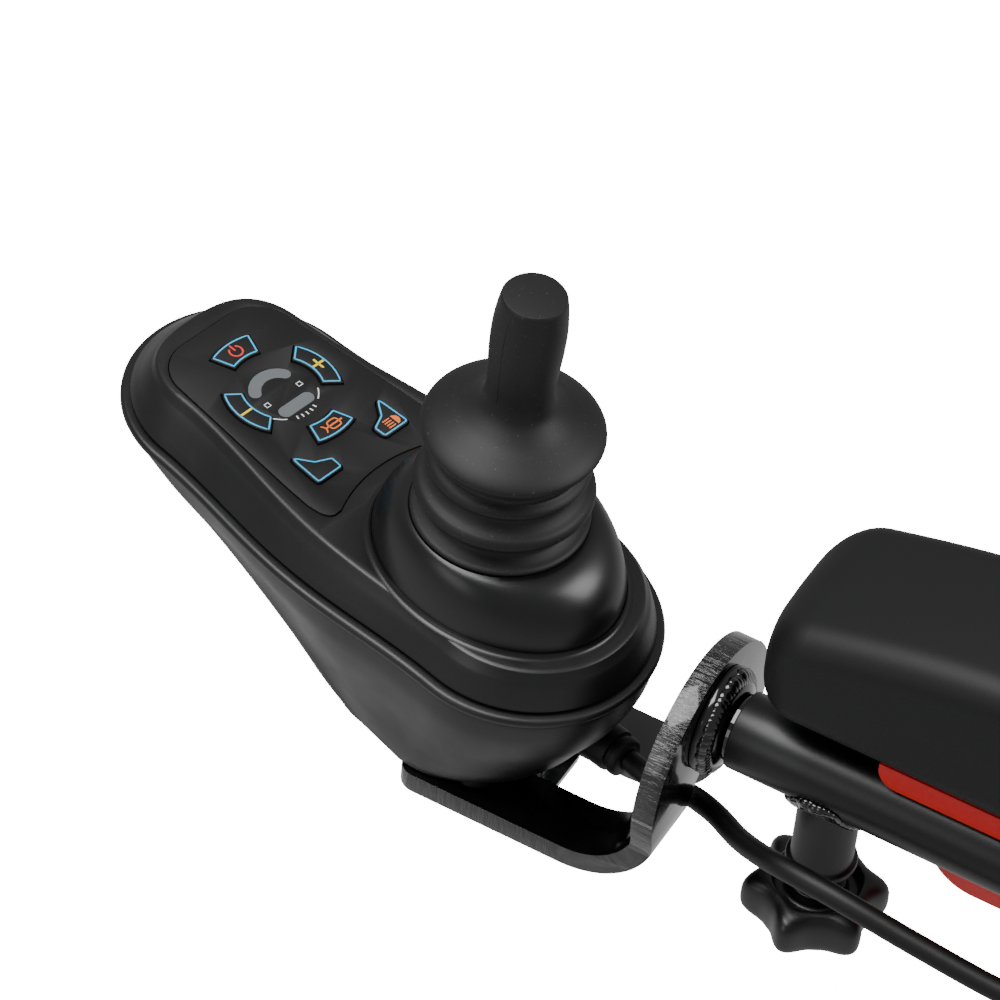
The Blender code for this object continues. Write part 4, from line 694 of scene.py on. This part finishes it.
def button_marks(name):
    """The printed mark of each button, as lines and shapes on its face."""
    low, high = BUTTON_TOP - 0.1, BUTTON_TOP + INK
    middle = {"power": (0, 18.1), "horn": (0, -18.5), "plus": (13.9, 0), "minus": (-13.9, 0)}.get(name,
                                                                                                  (0, 0))
    cx, cy = middle[0], RING_Y + middle[1]
    if name == "power":
        ring = arc(cx, cy, 1.9, 125, 415, 30)
        return [line_strip(ring, 0.55, low, high, "ink_red"),
                line_strip([(cx, cy + 0.2), (cx, cy + 2.6)], 0.55, low, high, "ink_red")]
    if name in ("plus", "minus"):
        marks = [line_strip([(cx - 2.0, cy), (cx + 2.0, cy)], 0.65, low, high, "ink_yellow")]
        if name == "plus":
            marks.append(line_strip([(cx, cy - 2.0), (cx, cy + 2.0)], 0.65, low, high, "ink_yellow"))
        return marks
    if name == "horn":
        bell = arc(cx - 3.6, cy, 1.7, -55, 55, 7)
        loop = rounded([(cx - 0.6, cy - 1.5), (cx + 3.0, cy - 1.5), (cx + 3.0, cy + 1.5),
                        (cx - 0.6, cy + 1.5)], 1.1)
        return [line_strip(bell, 0.42, low, high, "ink_orange"),
                line_strip([(cx - 2.0, cy), (cx + 4.2, cy)], 0.5, low, high, "ink_orange"),
                line_strip(loop, 0.42, low, high, "ink_orange", closed=True)]
    if name == "light":
        lamp = arc(14.6, 65.2, 1.7, -90, 90, 12)
        rays = [line_strip([(11.4, 63.9 + 0.9 * k), (13.9, 63.9 + 0.9 * k)], 0.4, low, high, "ink_orange")
                for k in range(4)]
        return [prism("ink", lamp, low, high, TOP, "ink_orange")] + rays
    return []


def make_buttons():
    for name, (outline, body) in BUTTONS.items():
        cap = prism("cap", outline, TOP_RISE + 0.9 - 4.2, BUTTON_TOP, TOP, "keypad")
        soften(cap, 0.35, 3, 50)
        border = line_strip(offset(outline, -0.62), 0.46, BUTTON_TOP - 0.1, BUTTON_TOP + INK, "ink_blue",
                            closed=True)
        piece = join("key_" + name, [cap, border] + button_marks(name))
        place_piece(piece, body, "keypad_silicone", "button_" + name)


def rounded_ends(radius_in, radius_out, spread):
    """A crescent with round ends about the ring's centre, opening to the rear."""
    middle, half = (radius_in + radius_out) / 2, (radius_out - radius_in) / 2
    left, right = 90 + spread, 90 - spread
    points = arc(0, 0, radius_out, right, left, 25)
    end = (middle * math.cos(math.radians(left)), middle * math.sin(math.radians(left)))
    points += arc(end[0], end[1], half, left, left + 180, 13)[1:-1]
    points += arc(0, 0, radius_in, left, right, 25)
    start = (middle * math.cos(math.radians(right)), middle * math.sin(math.radians(right)))
    return points + arc(start[0], start[1], half, right + 180, right + 360, 13)[1:-1]


def make_keypad():
    low = TOP_RISE - 2.2
    skin = prism("skin", panel_outline(0.0), low, SKIN, TOP, "keypad")
    bar = arc(-4.2, 0, 2.05, 90, 270, 17) + arc(4.2, 0, 2.05, -90, 90, 17)
    crescent = rounded_ends(5.0, 8.7, 56)
    windows = {"arc": [(WINDOW_X + x, RING_Y + y) for x, y in crescent],
               "bar": [(WINDOW_X + x, RING_Y - 6.4 + y) for x, y in bar]}
    cutters = [prism("c", offset(outline, 0.35), low - 3, SKIN + 3, TOP, None) for outline,
               _ in BUTTONS.values()]
    cutters += [prism("c", outline, TOP_RISE - 0.05, SKIN + 3, TOP, None) for outline in windows.values()]
    carve(skin, cutters)
    soften(skin, 0.22, 2, 50)
    low_ink, high_ink = SKIN - 0.1, SKIN + INK
    marks = []
    for start, end in ((-146, -124), (-56, -34)):
        marks.append(line_strip([(WINDOW_X + x, RING_Y + y) for x, y in arc(0, 0, 10.6, start, end, 10)],
                                0.35, low_ink, high_ink, "ink_white"))
    for angle in (-108, -99, -90, -81, -72):
        inner, outer = arc(WINDOW_X, RING_Y, 10.0, angle, angle + 1, 2)[0], arc(WINDOW_X, RING_Y, 11.2,
                                                                                angle, angle + 1, 2)[0]
        marks.append(line_strip([inner, outer], 0.4, low_ink, high_ink, "ink_white"))
    for x in (WINDOW_X - 6.3, WINDOW_X + 6.0):
        marks.append(line_strip([(x - 0.7, RING_Y - 2.2), (x + 0.7, RING_Y - 2.2), (x + 0.7, RING_Y - 0.9),
                                 (x - 0.7, RING_Y - 0.9)], 0.3, low_ink, high_ink, "ink_white", closed=True))
    panel = join("keypad_skin", [skin] + marks)
    place_piece(panel, "control", "keypad_silicone", "keypad_panel")
    for name, outline in windows.items():
        pane = prism("light_window_" + name, offset(outline, -0.05), low, TOP_RISE + 0.12, TOP, "window")
        place_piece(pane, "control", "smoked_window", "window_" + name)


# ---- joystick ------------------------------------------------------------------------------------
GRIP_TOP = 118.0
SKIRT_RADIUS = 24.6
SKIRT_Z = 69.0
SLEEVE_RADIUS = 5.5
SHAFT_BORE = 3.8
SHAFT_END = 103.3
SLEEVE_END = SKIRT_Z - 29.0


def make_joystick():
    top, edge = GRIP_TOP, SKIRT_RADIUS
    flat = [(0.0, top), (7.7, top), (8.3, top - 0.12), (8.75, top - 0.75)]
    side = [(8.75, top - 0.75), (9.3, top - 4.0), (9.8, top - 9.0), (9.95, top - 14.0), (9.8, top - 20.0),
            (9.35, top - 27.0), (9.05, top - 32.0), (9.25, top - 35.5), (10.4, top - 38.6),
            (14.0, top - 41.8), (18.0, SKIRT_Z + 4.9), (21.8, SKIRT_Z + 2.8), (edge - 0.7, SKIRT_Z + 1.2),
            (edge, SKIRT_Z), (edge - 0.5, SKIRT_Z - 1.3), (edge - 2.4, SKIRT_Z - 2.7),
            (edge - 4.2, SKIRT_Z - 3.7), (edge - 4.9, SKIRT_Z - 4.7), (edge - 4.5, SKIRT_Z - 5.7),
            (edge - 4.0, SKIRT_Z - 6.6), (edge - 4.2, SKIRT_Z - 7.6), (edge - 5.2, SKIRT_Z - 8.3),
            (12.0, SKIRT_Z - 9.4), (7.0, SKIRT_Z - 10.6), (SLEEVE_RADIUS + 0.2, SKIRT_Z - 12.5),
            (SLEEVE_RADIUS, SKIRT_Z - 18.0)]
    inner = [(SLEEVE_RADIUS, SLEEVE_END), (SHAFT_BORE, SLEEVE_END), (SHAFT_BORE, SHAFT_END), (0.0, SHAFT_END)]
    fine = [tuple(p) for p in smooth(side, 6)]
    grip = turned("stick_grip", flat + fine[1:] + inner, STICK, "rubber", 128, crease=35)
    seam = grip_seams(STICK, [(9.0, top - 34.0), (9.98, top - 14.0), (9.3, top - 4.0)])
    place_piece(join("stick_grip_moulded", [grip] + seam), "joystick", "black_rubber", "joystick_grip")
    make_bellows()


def make_bellows():
    """The rubber boot from the dome's mouth to the grip's skirt, made as a lower and an upper stretch
    that meet under the big fold."""
    seat = RIM_Z + DOME_RISE + GAP
    plug = BOOT_RADIUS - 3.0
    meet, neck_top = seat + 7.9, SKIRT_Z - 7.4
    lower = [(22.6, meet), (20.8, seat + 6.4), (19.9, seat + 4.6), (20.3, seat + 3.1), (22.0, seat + 1.9),
             (23.6, seat + 1.2), (BOOT_RADIUS, seat + 0.6), (BOOT_RADIUS, seat)]
    lower_back = [(plug, seat), (plug, seat - 3.2), (plug - 2.0, seat - 3.2), (plug - 2.0, seat + 0.8),
                  (18.2, seat + 3.0), (17.8, seat + 4.6), (18.8, seat + 7.0), (19.6, meet)]
    upper = [(19.4, neck_top), (19.9, neck_top - 1.3), (21.5, neck_top - 2.4), (22.3, neck_top - 3.6),
             (21.8, neck_top - 4.9), (20.2, neck_top - 6.1), (19.4, neck_top - 7.6), (19.8, seat + 15.0),
             (21.4, seat + 13.3), (23.4, seat + 12.1), (24.35, seat + 10.5), (24.0, seat + 9.2),
             (22.6, meet)]
    upper_back = [(19.6, meet), (21.9, seat + 10.2), (21.2, seat + 11.2), (18.2, seat + 14.0),
                  (17.4, neck_top - 7.6), (18.6, neck_top - 5.4), (20.2, neck_top - 3.6),
                  (17.8, neck_top - 1.0), (17.6, neck_top)]
    axis = [STICK @ Vector((0.0, 0.0, z)) for z in (seat + 1.0, meet - 0.2, meet + 0.2, neck_top - 1.0)]
    for name, wall, back, bodies, ends in (("bellows_lower", lower, lower_back, ("control", "gimbal"),
                                            axis[:2]),
                                           ("bellows_upper", upper, upper_back, ("gimbal", "joystick"),
                                            axis[2:])):
        fold = turned(name, [tuple(p) for p in smooth(wall, 6)] + back, STICK, "rubber", 128, crease=50)
        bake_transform(fold)
        if name == "bellows_lower":
            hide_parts("joystick_boot")


def grip_seams(place, profile):
    """The mould's parting line: a low ridge down each side of the grip."""
    ridges = []
    for side in (1, -1):
        rings = []
        for point in smooth([(r, 0.0, z) for r, z in profile], 8):
            r, z = point.x, point.z
            rings.append([(side * (r - 0.15), -0.22, z), (side * (r + 0.1), 0.0, z),
                          (side * (r - 0.15), 0.22, z)])
        ridges.append(loft("seam", rings, place, "rubber", crease=60))
    return ridges


# ---- bracket -------------------------------------------------------------------------------------
PLATE = 6.4
HALF_WIDTH = 27.7
AHEAD = 8.0
DROP = 43.5
BEND = 22.0
TIP = 88.0
HEAD_RADIUS = 32.5
HEAD_Z = -14.0
SLOT = 9.0
SLOT_FRONT = 78.0
SLOT_TOP = -16.0


def make_bracket():
    front = AHEAD + PLATE
    top, under = -DROP, -DROP - PLATE
    bend_y, bend_z = front + BEND, top + BEND
    high = HEAD_Z + HEAD_RADIUS + 10
    run = [top + 0.0]
    flat = [(TIP - 1 - (TIP - bend_y - 1) * k / 24, top) for k in range(24)]
    profile = [(TIP + 2, top)] + flat + arc(bend_y, bend_z, BEND, 270, 180, 49)
    profile += [(front, high), (AHEAD, high)] + arc(bend_y, bend_z, BEND + PLATE, 180, 270,
                                                    57) + [(TIP + 2, under)]
    reach = HEAD_RADIUS + 4
    plate = prism("plate", profile, -reach, reach, ARM, "enamel", axis="X")
    lean = math.degrees(math.acos(HALF_WIDTH / HEAD_RADIUS))
    shoulder = arc(0, HEAD_Z, HEAD_RADIUS, -lean, 180 + lean, 121)
    head = prism("c", [(-HALF_WIDTH, under - 5), (HALF_WIDTH, under - 5)] + shoulder, -10, TIP + 10, ARM,
                 None, axis="Y")
    corner = 6.0
    plan = [(-reach - 5, -20), (reach + 5, -20), (reach + 5, 50), (HALF_WIDTH, 50)]
    plan += arc(HALF_WIDTH - corner, TIP - corner, corner, 0, 90,
                13) + arc(-HALF_WIDTH + corner, TIP - corner, corner, 90, 180, 13)
    plan += [(-HALF_WIDTH, 50), (-reach - 5, 50)]
    carve(plate, [head, prism("c", plan, under - 5, high + 5, ARM, None)], "INTERSECT")
    flat_slot = [(-SLOT, AHEAD - 5), (SLOT, AHEAD - 5)] + arc(0, SLOT_FRONT - SLOT, SLOT, 0, 180, 33)
    upright = arc(0, SLOT_TOP - SLOT, SLOT, 0, 180, 33) + [(-SLOT, SLOT_TOP - 2 * SLOT),
                                                           (SLOT, SLOT_TOP - 2 * SLOT)]
    carve(plate, [prism("c", flat_slot, under - 5, SLOT_TOP - SLOT, ARM, None),
                  prism("c", upright, -5, front + 8, ARM, None, axis="Y")])
    soften(plate, 0.7, 3, 45, crease=50)
    plate.data.materials.append(MAT["cut_edge"])
    mark_cut_edges(plate, bend_y, bend_z)
    plate.name = "bent_bracket"
    return place_piece(plate, "control", "gloss_black_steel", "bracket_plate")


def mark_cut_edges(plate, bend_y, bend_z):
    """Finds the faces left by the flame and stores how far along the edge, in mm, each point lies."""
    to_arm = ARM.inverted()
    mesh = plate.data
    run = mesh.attributes.new("edge_run", "FLOAT_VECTOR", "POINT")
    middle = BEND + PLATE / 2
    for vertex in mesh.vertices:
        p = to_arm @ vertex.co
        if p.z > HEAD_Z - 18:
            angle = math.atan2(p.z - HEAD_Z, p.x)
            along = angle * HEAD_RADIUS * 1.0
            across = p.y
        elif p.y > bend_y:
            along, across = 400 + p.y + 0.35 * p.x, p.z
        elif p.z > bend_z:
            along, across = 400 - (p.z - bend_z), p.y
        else:
            angle = math.atan2(bend_z - p.z, bend_y - p.y)
            along = 200 + middle * angle
            across = math.hypot(p.z - bend_z, p.y - bend_y)
        run.data[vertex.index].vector = (along, across * 0.12, 0.0)
    for face in mesh.polygons:
        p = to_arm @ face.center
        n = face.normal
        if p.y > bend_y:
            sheet = Vector((0, 0, 1))
        elif p.z > bend_z:
            sheet = Vector((0, 1, 0))
        else:
            sheet = Vector((0, p.y - bend_y, p.z - bend_z)).normalized()
        if abs(n.dot(sheet)) < 0.6:
            face.material_index = 1


# ---- welds: Geometry Nodes lay the ripples of each bead ------------------------------------------
def bead_tree():
    """A node tree that lays flattened ripples round a circle, each leaning the way the torch went."""
    tree = bpy.data.node_groups.new("weld_bead", "GeometryNodeTree")
    tree.interface.new_socket("Geometry", in_out="OUTPUT", socket_type="NodeSocketGeometry")
    for label, value in (("Ring radius", 0.013), ("Bead width", 0.004), ("Bead height", 0.003)):
        tree.interface.new_socket(label, in_out="INPUT", socket_type="NodeSocketFloat").default_value = value
    tree.interface.new_socket("Ripples", in_out="INPUT", socket_type="NodeSocketInt").default_value = 40
    tree.interface.new_socket("Finish", in_out="INPUT", socket_type="NodeSocketMaterial")
    given = tree.nodes.new("NodeGroupInput")
    result = tree.nodes.new("NodeGroupOutput")
    circle = add(tree, "GeometryNodeCurvePrimitiveCircle", Resolution=160,
                 Radius=given.outputs["Ring radius"])
    points = add(tree, "GeometryNodeCurveToPoints", {"mode": "COUNT"}, Curve=circle.outputs[0],
                 Count=given.outputs["Ripples"])
    ball = add(tree, "GeometryNodeMeshUVSphere", Segments=16, Rings=10, Radius=1.0)
    wander = add(tree, "FunctionNodeRandomValue", {"data_type": "FLOAT"}, _2=0.85, _3=1.15, Seed=7)
    width = add(tree, "ShaderNodeMath", {"operation": "MULTIPLY"}, _0=given.outputs["Bead width"],
                _1=wander.outputs[1])
    size = add(tree, "ShaderNodeCombineXYZ", X=width.outputs[0], Y=given.outputs["Bead height"],
               Z=given.outputs["Bead width"])
    laid = add(tree, "GeometryNodeInstanceOnPoints", Points=points.outputs[0], Instance=ball.outputs[0],
               Rotation=points.outputs["Rotation"], Scale=size.outputs[0])
    real = add(tree, "GeometryNodeRealizeInstances", Geometry=laid.outputs[0])
    shade = add(tree, "GeometryNodeSetShadeSmooth", _0=real.outputs[0])
    finish = add(tree, "GeometryNodeSetMaterial", Geometry=shade.outputs[0], Material=given.outputs["Finish"])
    tree.links.new(finish.outputs[0], result.inputs[0])
    return tree


BEAD = bead_tree()


def lay_bead(name, place, ring, width, height, ripples, finish):
    """One weld bead as a plain mesh: a bead round the local Z axis, at height 0."""
    obj = bpy.data.objects.new(name, bpy.data.meshes.new(name))
    bpy.context.scene.collection.objects.link(obj)
    modifier = obj.modifiers.new("bead", "NODES")
    modifier.node_group = BEAD
    keys = {item.name: item.identifier for item in BEAD.interface.items_tree if item.in_out == "INPUT"}
    for label, value in (("Ring radius", ring * MM), ("Bead width", width * MM), ("Bead height", height * MM),
                         ("Ripples", ripples), ("Finish", MAT[finish])):
        modifier[keys[label]] = value
    settle(obj)
    obj.data.transform(place @ Matrix.Scale(1 / MM, 4))
    return obj


# ---- arm: tube, clamp, pad, guard ----------------------------------------------------------------
TUBE_RADIUS = 11.0
CLAMP_Y = -28.0


def make_tube():
    length = (tube_high.y - tube_low.y) / MM
    lip = [(9.5, -0.4), (9.9, 0.0), (10.4, 0.0), (10.8, -0.15), (11.0, -0.6)]
    profile = lip + [(11.0, -length * k / 12) for k in range(1, 13)] + [(9.5, -length)]
    tube = turned("arm_tube_coated", profile, ARM @ ALONG_ARM, "powder", 96, crease=60)
    holes = [rod("c", 4.8, -15, 0, ARM, at=(0, CLAMP_Y), sides=40)]
    carve(tube, holes)
    tube.data.shade_smooth()
    tube.data.set_sharp_from_angle(angle=math.radians(40))
    place_piece(tube, "armrest", "satin_black_steel", "arm_tube")


def make_stub_weld():
    face = ARM @ Matrix.Translation((0, AHEAD - GAP, 0)) @ ALONG_ARM
    core = turned("core", [(9.5, 0.0), (15.2, 0.0), (15.4, -1.4), (14.4, -3.6), (11.6, -5.6), (9.5, -6.4)],
                  face, "enamel", 96)
    bead = lay_bead("ripples", face @ Matrix.Translation((0, 0, -2.6)), 12.6, 2.7, 2.7, 54, "enamel")
    weld = join("stub_weld_bead", [core, bead])
    place_piece(weld, "control", "gloss_black_steel", "stub_weld")


def make_clamp_boss():
    place = ARM @ Matrix.Translation((0, CLAMP_Y, 0))
    boss = turned("boss", [(4.3, -8.0), (8.6, -8.0), (8.6, -31.6), (8.7, -32.2), (9.6, -32.6), (9.8, -33.0),
                           (9.8, -34.4), (9.4, -35.0), (4.3, -35.0)][::-1], place, "powder", 80)
    carve(boss, [rod("c", TUBE_RADIUS + GAP, -60, 10, ARM, axis="Y", sides=96)])
    boss.data.shade_smooth()
    boss.data.set_sharp_from_angle(angle=math.radians(35))
    boss.name = "threaded_clamp_boss"
    place_piece(boss, "armrest", "satin_black_steel", "clamp_boss")
    bead = lay_bead("boss_weld_bead", place @ Matrix.Translation((0, 0, -11.6)), 10.2, 2.3, 2.1, 46, "enamel")
    bend_bead(bead)
    place_piece(bead, "armrest", "satin_black_steel", "boss_weld")


def bend_bead(bead):
    """Drapes a flat ring of weld over the round tube below which it runs."""
    to_arm = ARM.inverted()
    for vertex in bead.data.vertices:
        p = to_arm @ vertex.co
        level = -math.sqrt(max(1.0, (TUBE_RADIUS + 0.4) ** 2 - min(p.x * p.x, 118.0)))
        p.z += (level + TUBE_RADIUS + 0.4)
        vertex.co = ARM @ p


KNOB_TOP = -42.5
KNOB_HEIGHT = 14.0


def lobed(z, radius, lobe, count=144):
    points = []
    for i in range(count):
        angle = 2 * math.pi * i / count
        wave = math.cos(6 * angle)
        reach = radius + lobe * (wave + 0.18 * math.cos(12 * angle))
        points.append((reach * math.cos(angle), reach * math.sin(angle), z))
    return points


def make_knob():
    place = ARM @ Matrix.Translation((0, CLAMP_Y, 0))
    bottom = KNOB_TOP - KNOB_HEIGHT
    side = [(bottom, 12.6, 0.4), (bottom + 0.35, 14.4, 1.0), (bottom + 1.3, 16.2, 1.6),
            (bottom + 2.8, 17.2, 2.0), (bottom + 5.0, 17.6, 2.1), (bottom + 8.6, 17.6, 2.1),
            (KNOB_TOP - 3.2, 17.2, 2.0), (KNOB_TOP - 1.6, 16.3, 1.7), (KNOB_TOP - 0.5, 14.8, 1.1),
            (KNOB_TOP, 13.2, 0.5), (KNOB_TOP - 0.4, 12.2, 0.2), (KNOB_TOP - 3.2, 11.4, 0.0),
            (KNOB_TOP - 3.4, 8.4, 0.0), (KNOB_TOP - 0.4, 7.8, 0.0), (KNOB_TOP + 0.1, 7.2, 0.0),
            (KNOB_TOP + 0.1, 4.4, 0.0)]
    fine = [tuple(p) for p in smooth(side, 3)]
    knob = loft("star_knob", [lobed(*row) for row in fine] + [lobed(KNOB_TOP - 6, 4.4, 0.0)], place,
                "nylon", crease=50)
    place_piece(knob, "knob", "black_nylon", "clamp_knob")


PAD_FRONT = 4.0
PAD_LENGTH = 248.0
PAD_WIDTH = 55.0
PAD_INNER_X = -12.0
PAD_FRONT_HEIGHT = 31.5
PAD_REAR_HEIGHT = 48.5
PAD_RISE = 84.0
PAD_CORNER = 13.0
PAD_BOTTOM = 19.0


def pad_height(along):
    t = min(1.0, max(0.0, along / PAD_RISE))
    return PAD_FRONT_HEIGHT + (PAD_REAR_HEIGHT - PAD_FRONT_HEIGHT) * (1.5 * t - 0.5 * t ** 3) * 0.97


def pad_section(along, inset, drop):
    left, right = PAD_INNER_X + inset, PAD_INNER_X + PAD_WIDTH - inset
    low, high = PAD_BOTTOM + 0.6 * drop, PAD_BOTTOM + pad_height(along) - drop
    points = []
    for x, z, radius, start in ((left, low, 10.0, 180), (right, low, 6.0, 270), (right, high, 9.5, 0),
                                (left, high, 9.5, 90)):
        radius = min(radius, (high - low) * 0.42)
        cx = x + radius if x == left else x - radius
        cz = z + radius if z == low else z - radius
        points += arc(cx, cz, radius, start, start + 90, 13)
        if z == high and x == right:
            sag = [(right - radius - (right - left - 2 * radius) * k / 12,
                    high + 0.35 * math.sin(math.pi * k / 12))
                   for k in range(1, 12)]
            points += sag
    return [(x, -PAD_FRONT - along, z) for x, z in points]


def make_pad():
    quarter = [(PAD_CORNER * (1 - math.cos(math.radians(7.5 * k))),
                PAD_CORNER * (1 - math.sin(math.radians(7.5 * k))))
               for k in range(13)]
    body = [(PAD_CORNER + (PAD_RISE - PAD_CORNER) * k / 14, 0.0) for k in range(1, 15)]
    body += [(PAD_RISE + (PAD_LENGTH - PAD_CORNER - PAD_RISE) * k / 8, 0.0) for k in range(1, 8)]
    stations = quarter + body + [(PAD_LENGTH - along, inset) for along, inset in reversed(quarter)]
    pad = loft("arm_pad_skin", [pad_section(a, i, i * 0.55) for a, i in stations], ARM, "pad_skin", crease=70)
    place_piece(pad, "armrest", "pad_foam", "arm_pad")


GUARD_FRONT = 42.0
GUARD_REAR = 236.0
GUARD_TOP = 18.7
GUARD_SKIRT = 14.0
GUARD_SCREWS = (-135.0, -220.0)
PAD_SCREWS = [(30.0, -80.0), (30.0, -200.0)]


def make_guard():
    back, front = -GUARD_REAR, -GUARD_FRONT
    low = TUBE_RADIUS + GAP
    under = GUARD_TOP - 4.0
    outline = [(back, under), (back, -39.0)] + arc(front - 25.0, -24.0, 15.0, 270, 360, 25)
    outline += [(front - 10.0, 6.0)] + [(front - 10.0 * math.cos(math.radians(a)),
                                         6.0 + 6.0 * math.sin(math.radians(a)))
                                        for a in (15, 30, 45, 60, 75, 90)] + [(front, under + 1.0)]
    shelf = prism("shelf", [(back, low), (front - 5.5, low)] + arc(front - 5.5, low + 5.5, 5.5, -90, 0,
                                                                   13)[1:]
                  + [(front, GUARD_TOP), (back, GUARD_TOP)], -7.0, 18.0, ARM, "red", axis="X")
    wing = prism("c", [(back, under), (front, under), (front, GUARD_TOP), (back, GUARD_TOP)], 17.0, 40.0,
                 ARM, "red", axis="X")
    skirt = prism("c", outline, GUARD_SKIRT, GUARD_SKIRT + 4.0, ARM, "red", axis="X")
    bosses = [rod("c", 6.0, 9.0, GUARD_SKIRT + 1.0, ARM, at=(y, 0), axis="X", sides=48) for y in GUARD_SCREWS]
    for boss in bosses:
        boss.data.materials.append(MAT["red"])
    carve(shelf, [wing, skirt] + bosses, "UNION")
    cutters = [rod("c", TUBE_RADIUS + GAP, back - 10, front + 20, ARM, axis="Y", sides=96)]
    cutters += [rod("c", 2.3, 0, 40, ARM, at=(y, 0), axis="X", sides=32) for y in GUARD_SCREWS]
    cutters += [rod("c", 2.8, 0, 40, ARM, at=at, sides=32) for at in PAD_SCREWS]
    carve(shelf, cutters)
    soften(shelf, 0.8, 3, 50, crease=35)
    shelf.name = "red_side_guard"
    place_piece(shelf, "armrest", "red_plastic", "side_guard")


def make_gland():
    place = UNIT @ Matrix.Translation((GLAND_SIDE, GLAND_TIP, GLAND_Z)) @ ALONG_ARM
    profile = [(0.0, 0.0), (4.2, 0.0), (5.2, 0.3), (5.8, 1.0), (5.9, 2.6), (5.3, 3.0), (5.3, 4.0),
               (6.2, 4.4), (6.4, 5.4), (6.4, 19.0), (0.0, 19.0)]
    gland = turned("cable_gland_boot", profile, place, "rubber", 64)
    place_piece(gland, "control", "black_rubber", "cable_gland")


# ---- every other node keeps its solid and takes a finish -----------------------------------------
FINISH = {
    "frame_plate": "powder", "pivot_spacer": "nylon", "stop_sleeve": "rubber", "circuit_board": "board",
    "switch_mat": "keypad", "gimbal_housing": "nylon", "gimbal_yoke": "nylon", "spring_collar": "nylon",
    "charge_socket": "nylon", "clamp_shoe": "brass", "cable_connector": "nylon", "cable_clip": "nylon",
    "connector_clip": "nylon", "stub_tube": "enamel", "clamp_stud": "powder",
}


def finish_frame():
    for name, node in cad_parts.items():
        node.data.materials.clear()
        node.data.materials.append(MAT[FINISH.get(name, "zinc")])
        node.data.shade_smooth()
        node.data.set_sharp_from_angle(angle=math.radians(30))


make_lower_shell()
make_upper_shell()
make_rim_band()
make_keypad()
make_buttons()
make_joystick()
make_bracket()
make_tube()
make_stub_weld()
make_clamp_boss()
make_knob()
make_pad()
make_guard()
make_gland()
finish_frame()


# ---- floor and light -----------------------------------------------------------------------------
FLOOR_Z = -0.30
PAPER_SEEN = 16.0     # the paper's glow to the eye
PAPER_SPILL = 0.3     # and on the object
WORLD_LEVEL = 0.35


def make_stage():
    mesh = bpy.data.meshes.new("floor")
    bm = bmesh.new()
    bmesh.ops.create_grid(bm, x_segments=1, y_segments=1, size=6.0,
                          matrix=Matrix.Translation((0, 0, FLOOR_Z)))
    bm.to_mesh(mesh)
    bm.free()
    floor = bpy.data.objects.new("floor", mesh)
    bpy.context.scene.collection.objects.link(floor)
    # A lit sheet of white paper: bright enough to run to white, as a product shot's sweep does.
    paper, tree, shader = new_material("lit_white_paper", "#8c8c8c", 0.95)
    shader.inputs["Emission Color"].default_value = linear("#ffffff")
    seen = add(tree, "ShaderNodeLightPath")
    level = add(tree, "ShaderNodeMapRange", _0=seen.outputs["Is Camera Ray"], _1=0.0, _2=1.0,
                _3=PAPER_SPILL, _4=PAPER_SEEN)
    tree.links.new(level.outputs[0], shader.inputs["Emission Strength"])
    mesh.materials.append(paper)
    world = bpy.data.worlds.new("studio")
    bpy.context.scene.world = world
    world.use_nodes = True
    world.node_tree.nodes["Background"].inputs["Color"].default_value = (1.0, 1.0, 1.0, 1.0)
    world.node_tree.nodes["Background"].inputs["Strength"].default_value = WORLD_LEVEL
    middle = ARM_ORIGIN + Vector((0.0, 0.08, 0.0))
    lights = [("overhead_box", (-0.25, 0.35, 1.2), 0.8, 21.0), ("rear_box", (0.5, -1.1, 0.9), 0.7, 14.0),
              ("left_box", (-1.4, 0.5, 0.5), 0.7, 3.0)]
    for name, place, size, power in lights:
        light = bpy.data.lights.new(name, "AREA")
        light.shape = "SQUARE"
        light.size = size
        light.energy = power
        lamp = bpy.data.objects.new(name, light)
        bpy.context.scene.collection.objects.link(lamp)
        lamp.location = middle + Vector(place)
        lamp.rotation_euler = (middle - lamp.location).to_track_quat("-Z", "Y").to_euler()


make_stage()
